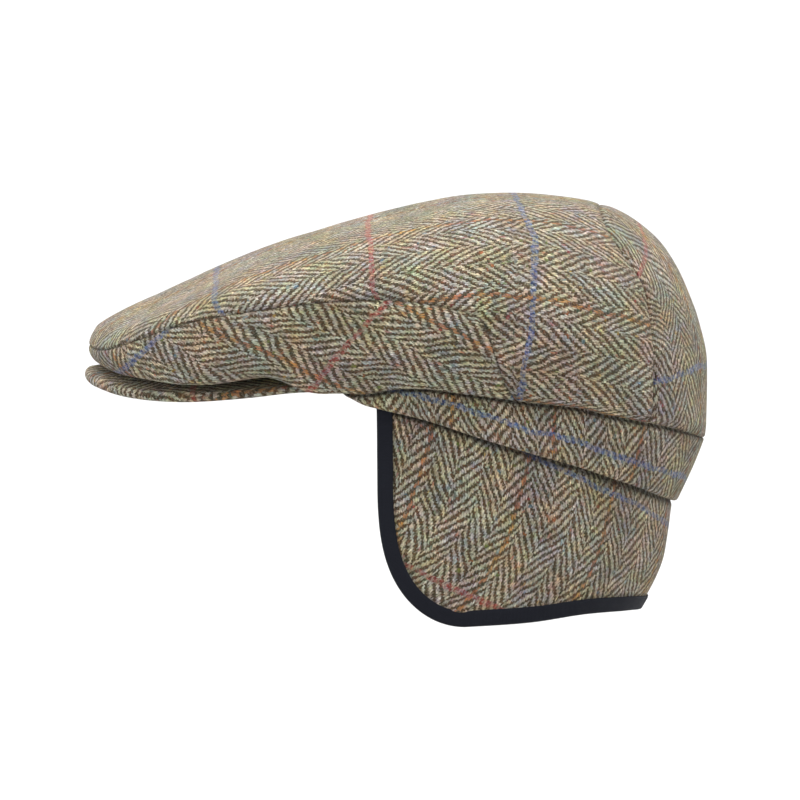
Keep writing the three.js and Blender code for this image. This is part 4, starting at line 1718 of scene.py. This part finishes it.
@dataclass(frozen=True)
class FlapForm:
    """The flap that hangs from the band over the ears and the nape."""

    thick: float = 2.5
    front_angle: float = 54.8
    corner_z: float = -18.0
    corner_span: float = 23.0
    corner_power: float = 1.35
    top_drop: float = 2.0
    middle: float = 0.68
    level_z: float = -79.0
    under_band: float = 1.0
    grain_radius: float = 330.0
    grain_growth: float = 1.03
    inset: Rows = Rows(
        ("angle", "top", "band", "middle", "bottom"),
        (
            (54, 1.6, 2.0, 2.8, 5.0), (80, 0.6, 3.7, 4.6, 7.5), (110, 0.7, 6.2, 8.2, 12.0),
            (145, 0.9, 9.4, 12.0, 19.2), (180, 1.0, 10.3, 13.5, 24.6),
        ),
    )
    bottom: Rows = Rows(
        ("angle", "z"),
        ((77.8, -81.0), (100, -79.6), (120, -77.4), (150, -77.4), (180, -78.6)),
    )

    def inset_at(self, degrees: Array, z: Array, band: Band) -> Array:
        """How far the flap lies inside its top line.

        Args:
            degrees: Angles round the axis.
            z: Heights.
            band: The band over it.

        Returns:
            The insets.
        """
        top = CROWN.hem_z(degrees) - self.top_drop
        reach = top - self.level_z
        at_band = np.maximum(0.06, np.clip((top - band.bottom(degrees)) / reach, 0, 1))
        ones = np.ones_like(at_band)
        knots = np.stack([0 * ones, at_band, np.maximum(self.middle, at_band + 0.2), ones])
        levels = ("top", "band", "middle", "bottom")
        values = np.stack([self.inset.curve(name, degrees, Ends.FREE) for name in levels])
        rises = np.diff(values, axis=0) / np.diff(knots, axis=0)
        slopes = np.zeros_like(values)
        slopes[0] = rises[0]
        slopes[1:3] = calm(rises[:2], rises[1:])
        slopes[3] = 1.5 * rises[2] - 0.5 * slopes[2]
        drop = np.clip((top - z) / reach, 0, 1)
        i = (drop > knots[1]).astype(int) + (drop > knots[2])
        at = np.arange(len(degrees))
        step = knots[i + 1, at] - knots[i, at]
        share = (drop - knots[i, at]) / step
        return cubic(values[i, at], values[i + 1, at], slopes[i, at] * step, slopes[i + 1, at] * step, share)

    def point(self, degrees: Array, z: Array, depth: float, band: Band) -> Array:
        """Points of the flap.

        Args:
            degrees: Angles round the axis.
            z: Heights.
            depth: How deep under the outer face.
            band: The band over it.

        Returns:
            The points.
        """
        radius = HEAD.radius(degrees, self.thick - depth) - self.inset_at(degrees, z, band)
        return HEAD.place(degrees, radius, z)

    def outline(self, u: Array, band: Band) -> tuple[Array, Array]:
        """The finished edge on the left side.

        Args:
            u: 0 to 1 down the front, to 2 round the corner, to 3 along the bottom.
            band: The band over it.

        Returns:
            Angles and heights.
        """
        start = float(band.bottom(np.array(self.front_angle))) + self.under_band
        corner_end = self.front_angle + self.corner_span
        low = float(self.bottom.curve("z", np.array(corner_end), Ends.FREE))
        quarter = np.clip(u - 1, 0, 1) * math.pi / 2
        degrees = self.front_angle + self.corner_span * (1 - np.cos(quarter)) ** self.corner_power
        z = start + (self.corner_z - start) * np.clip(u, 0, 1)
        z = np.where(u > 1, self.corner_z + (low - self.corner_z) * np.sin(quarter), z)
        far = corner_end + (180 - corner_end) * np.clip(u - 2, 0, 1)
        degrees = np.where(u > 2, far, degrees)
        z = np.where(u > 2, self.bottom.curve("z", far, Ends.FREE), z)
        return degrees, z

    def frames(self, u: Array, band: Band) -> tuple[Array, Array, Array]:
        """Frames along the finished edge.

        Args:
            u: Places along the edge, as for its outline.
            band: The band over it.

        Returns:
            The middle of the edge's thickness, the way in from the edge and the outward normal.
        """
        def middle(v: Array) -> Array:
            """The edge's middle line."""
            return self.point(*self.outline(v, band), self.thick / 2, band)

        def unit(way: Array) -> Array:
            """Ways of length 1."""
            return way / np.linalg.norm(way, axis=-1, keepdims=True)

        points = middle(u)
        tangent = unit(middle(np.minimum(3, u + 0.01)) - middle(np.maximum(0, u - 0.01)))
        degrees, z = self.outline(u, band)
        up = unit(self.point(degrees, z + 2, self.thick / 2, band) - points)
        around = unit(self.point(degrees + 1, z, self.thick / 2, band) - points)
        normal = unit(np.cross(around, up))
        outward = points - np.array([0, HEAD.axis_y, 0])
        outward[:, 2] = 0
        normal *= np.sign((normal * outward).sum(-1, keepdims=True))
        inward = unit(np.cross(tangent, normal))
        guide = np.where((u < 1.3)[:, None], around, up)
        inward *= np.sign((inward * guide).sum(-1, keepdims=True))
        return points, inward, normal

    def flat_place(self, points: Array) -> Array:
        """Lays the flap flat: columns run upright at the back and lean away from it in front.

        Args:
            points: Points of the flap.

        Returns:
            Places on the flat cloth.
        """
        angles = np.linspace(0, 180, 400)
        rim = walked(HEAD.place(angles, HEAD.radius(angles, 0.0) - 4, 0.0))
        around = np.sign(points[..., 0]) * (rim[-1] - np.interp(around_axis(points), angles, rim))
        down = -points[..., 2] * self.grain_growth
        reach = self.grain_radius - down
        turn = around / self.grain_radius
        return np.stack([reach * np.cos(turn), reach * np.sin(turn)], -1)


FLAP = FlapForm()


@dataclass
class NeckFlap:
    """The flap's cloth, two layers sewn together inside the binding."""

    tweed: bpy.types.Material
    band: Band
    edge_inset: float = 1.1
    wall: float = 2.2
    tuck: float = 1.1
    pull: float = 0.0045
    top_lead: float = 4.9
    # painted shadow under the band's folded edge, and painted shade along the binding's lip: how wide each
    # reaches and how dark it is
    fold_painted_shade: tuple[float, float] = (1.7, 0.88)
    lip_painted_shade: tuple[float, float] = (0.9, 0.5)
    cut: Cut = Cut(along=-82.0, across=7.4, weft_lean=0.20, lean_middle=80.0, growth=1.09)
    relief: ClothRelief = field(
        default_factory=lambda: ClothRelief(
            turn=0.0, hem_turn=0.0, valley=0.0, pucker=0.12, slack=0.9, slack_size=42, ripple=0.25,
        )
    )

    def build(self) -> bpy.types.Object:
        """Makes the flap.

        Returns:
            The flap.
        """
        u = np.concatenate([np.linspace(0, 1, 30), np.linspace(1, 2, 70)[1:], np.linspace(2, 3, 110)[1:]])
        points, inward, normal = FLAP.frames(u, self.band)
        edge = points + inward * self.edge_inset + normal * (FLAP.thick / 2)
        edge_angle = around_axis(edge)
        top_start = edge_angle[0] + self.top_lead
        top_angle = top_start + (180 - edge_angle[0] - self.top_lead) * (u / 3) ** 1.4
        rows = []
        for share in np.linspace(0, 1, 64):
            degrees = edge_angle + (top_angle - edge_angle) * share
            z = edge[:, 2] + (CROWN.hem_z(degrees) - FLAP.top_drop - edge[:, 2]) * share
            rows.append(FLAP.point(degrees, z, 0.0, self.band))
        left = np.array(rows)
        grid = np.concatenate([left, left[:, -2::-1] * MIRRORED], axis=1)
        under = smooth(-1.8, 0.4, grid[..., 2] - self.band.bottom(around_axis(grid)))
        outward = self.outward(grid)
        grid = grid - outward * (self.tuck * under)[..., None]
        border = np.concatenate([grid[0], grid[:, 0], grid[:, -1]])
        cloth = self.relief.shape(grid, outward, border, border)
        top = CROWN.hem_z(np.zeros(1))[0]
        calmness = smooth(-30, top, grid[..., 2:3]) * 0.8
        cloth = cloth + (grid - cloth) * calmness
        flat = self.eased(flatten(grid, FLAP.flat_place(grid)))
        piece = sheet_piece("neck_flap_cloth", cloth, flat, outward, self.wall)
        # painted shadow under the band's folded edge and painted shade where the cloth tucks under the
        # binding
        turns = np.linspace(-180, 180, 800)
        fold = FLAP.point(turns, self.band.bottom(turns) - 0.7, 0.0, self.band)
        lip, _, _ = FLAP.frames(u, self.band)
        lip = lip + inward * Binding.width + normal * (FLAP.thick / 2)
        lips = densely(np.concatenate([lip, lip[::-1] * MIRRORED]))
        paint_shade_in_creases(piece, [(densely(fold), *self.fold_painted_shade), (lips, *self.lip_painted_shade)])
        finish_piece(piece, "tweed", self.tweed, "neck_flap")
        return piece

    def eased(self, flat: Array) -> Array:
        """Pulls the flap's lower warp forward, as it was blocked.

        Args:
            flat: The flap laid flat.

        Returns:
            Its places on the cloth.
        """
        along, across = flat[..., 0], flat[..., 1]
        pulled = np.sign(across) * self.pull * np.maximum(0, 290 - along) ** 2
        return self.cut.place(np.stack([along, across - pulled * smooth(0, 40, np.abs(across))], -1))

    @staticmethod
    def outward(grid: Array) -> Array:
        """Outward normals of a grid of points, from each point's neighbours.

        Args:
            grid: The grid.

        Returns:
            The normals.
        """
        way = np.cross(np.gradient(grid, axis=1), np.gradient(grid, axis=0))
        way /= np.maximum(1e-9, np.linalg.norm(way, axis=-1, keepdims=True))
        away = grid - np.array([0, HEAD.axis_y, 0])
        away[..., 2] = 0
        return way * np.sign((way * away).sum(-1, keepdims=True))


@dataclass
class Binding:
    """Navy tape folded over the flap's edge."""

    tape: bpy.types.Material
    band: Band
    width: float = 7.2
    lift: float = 0.75
    wall: float = 0.55
    nose: float = 1.5
    wobble: float = 0.12

    def outline(self) -> Array:
        """The folded tape's section, as ways in from the edge and off the middle.

        Returns:
            The section's points in order.
        """
        out = FLAP.thick / 2 + self.lift
        flank = np.linspace(self.width, self.nose, 12)
        bend = np.radians(np.linspace(90, -90, 13))[1:-1]
        lip = out - 0.25 * smooth(self.width - 1.2, self.width, flank)
        outside = np.concatenate([
            np.stack([flank, lip], -1), np.stack([self.nose * (1 - np.cos(bend)), out * np.sin(bend)], -1),
            np.stack([flank, -lip], -1)[::-1],
        ])
        within = out - self.wall
        inside = np.array([
            (self.width, -within + 0.1), (self.nose + 0.5, -within), (self.nose - 0.5, -within * 0.6),
            (self.nose - 0.5, within * 0.6), (self.nose + 0.5, within), (self.width, within - 0.1),
        ])
        return np.concatenate([outside, inside])

    def build(self) -> bpy.types.Object:
        """Makes the tape.

        Returns:
            The tape.
        """
        u = np.concatenate([np.linspace(0, 1, 60), np.linspace(1, 2, 110)[1:], np.linspace(2, 3, 170)[1:]])
        points, inward, normal = FLAP.frames(u, self.band)
        section = self.outline()
        ways_in, ways_off = inward[:, None] * section[None, :, :1], normal[:, None] * section[None, :, 1:]
        rows = points[:, None] + ways_in + ways_off
        wobble = np.array([[self.wobble * noise.noise(Vector(spot) / 6) for spot in row] for row in rows])
        rows = rows + normal[:, None] * wobble[..., None]
        along, around = walked(points), walked(section)
        flat = np.stack(np.broadcast_arrays(along[:, None], around[None, :]), -1)
        flat_right = np.stack([2 * along[-1] - flat[-2::-1, :, 0], flat[-2::-1, :, 1]], -1)
        sections = np.concatenate([rows, rows[-2::-1] * MIRRORED])
        piece = tube_piece("binding_tape", sections, np.concatenate([flat, flat_right]))
        finish_piece(piece, "binding_tape", self.tape, "flap_binding")
        return piece


# ---------------------------------------------------------------- studio


@dataclass
class Studio:
    """Pale floor with a painted shadow under the cap, soft light and the camera."""

    target: tuple[float, float, float] = (0.0, -0.0187, 0.0133)
    azimuth: float = 92.0
    elevation: float = 2.0
    distance: float = 1.8
    view_width: float = 0.3556
    floor_z: float = -0.30
    # painted shadow: grey near the cap, paling to near white farther out
    floor_painted_shadow: tuple[tuple[float, str], ...] = ((0.14, "b4b4b4"), (0.24, "f1f1f1"))
    floor_reach: float = 4.0
    room_strength: float = 0.93
    overhead_power: float = 24
    backdrop_power: float = 60

    def build(self) -> None:
        """Makes the floor, the lights and the camera."""
        self.floor()
        self.lights()
        self.camera()

    def floor(self) -> None:
        """A wide pale floor, grey under the cap as painted shadow, whose rim curves up to a low wall all
        round.
        """
        bend = np.radians(np.arange(10, 91, 10))
        radii = np.concatenate([[0.02], np.linspace(0.5, 5.5, 10), 5.5 + 1.5 * np.sin(bend), [7.0]])
        rises = np.concatenate([np.zeros(11), 1.5 * (1 - np.cos(bend)), [1.6]])
        around = np.linspace(0, 2 * math.pi, 97)[:-1]
        rings = [
            np.stack([r * np.cos(around), r * np.sin(around), np.full(96, self.floor_z + z)], -1)
            for r, z in zip(radii, rises)
        ]
        mesh = bpy.data.meshes.new("studio_floor")
        faces: list[Sequence[int]] = [tuple(range(96))]
        faces += [face[::-1] for face in grid_faces(len(rings), 96, closed=True)]
        mesh.from_pydata(np.concatenate(rings).tolist(), [], faces)
        floor = bpy.data.objects.new("studio_floor", mesh)
        bpy.context.collection.objects.link(floor)
        choose_only(floor)
        bpy.ops.object.shade_smooth()
        g = Graph("pale_floor_with_painted_shadow")
        place = g.tree.nodes.new("ShaderNodeTexCoord").outputs["Object"]
        x, y, _ = g.parts(place)
        away = g.math("SQRT", g.math("MULTIPLY_ADD", x, x, g.math("MULTIPLY", y, y)))
        # painted shadow: the floor is grey in a disc under the cap and pales beyond it
        shade = g.ramp(g.math("DIVIDE", away, self.floor_reach), self.floor_painted_shadow)
        g.put(g.shader.inputs["Base Color"], shade)
        g.shader.inputs["Roughness"].default_value = 0.9
        mesh.materials.append(g.material)

    def lights(self) -> None:
        """A soft light overhead, one on the floor behind, and a bright room."""
        world = bpy.data.worlds.new("studio_room")
        world.use_nodes = True
        world.node_tree.nodes["Background"].inputs["Color"].default_value = (1, 1, 1, 1)
        world.node_tree.nodes["Background"].inputs["Strength"].default_value = self.room_strength
        bpy.context.scene.world = world
        self.light("overhead", (0.35, -0.15, 1.5), (0, -0.02, 0.03), 1.2, self.overhead_power)
        self.light("backdrop", (-4.2, 0, 2.8), (-4.4, 0, -0.3), 4.0, self.backdrop_power)

    def light(
        self, name: str, place: tuple[float, float, float], at: tuple[float, float, float],
        size: float, power: float,
    ) -> None:
        """Adds a square soft light.

        Args:
            name: Its name.
            place: Where it stands.
            at: Where it points.
            size: Its side.
            power: Its power in watts.
        """
        lamp = bpy.data.lights.new(name, "AREA")
        lamp.size = size
        lamp.energy = power
        stand = bpy.data.objects.new(name, lamp)
        stand.location = place
        stand.rotation_euler = (Vector(at) - Vector(place)).to_track_quat("-Z", "Y").to_euler()
        bpy.context.collection.objects.link(stand)

    def camera(self) -> None:
        """The camera, level with the cap at its left side."""
        lens = bpy.data.cameras.new("camera")
        lens.sensor_width = 36
        lens.lens = lens.sensor_width * self.distance / self.view_width
        stand = bpy.data.objects.new("camera", lens)
        turn, lift = math.radians(self.azimuth - 90), math.radians(self.elevation)
        way = Vector((math.cos(lift) * math.cos(turn), math.cos(lift) * math.sin(turn), math.sin(lift)))
        stand.location = Vector(self.target) + way * self.distance
        stand.rotation_euler = (-way).to_track_quat("-Z", "Y").to_euler()
        bpy.context.collection.objects.link(stand)
        bpy.context.scene.camera = stand
        bpy.context.scene.view_settings.view_transform = "Standard"


# ---------------------------------------------------------------- the cap


def main() -> None:
    """Builds the cap piece by piece, then the studio round it."""
    logging.basicConfig(level=logging.INFO, format="%(name)s: %(message)s")
    tweed = Tweed().material()
    tape = BindingTape().material()
    band = Band(tweed)
    made = [*Crown(tweed).build(), Peak(tweed).build(), band.build()]
    made += [NeckFlap(tweed, band).build(), Binding(tape, band).build()]
    Studio().build()


if __name__ == "__main__":
    main()
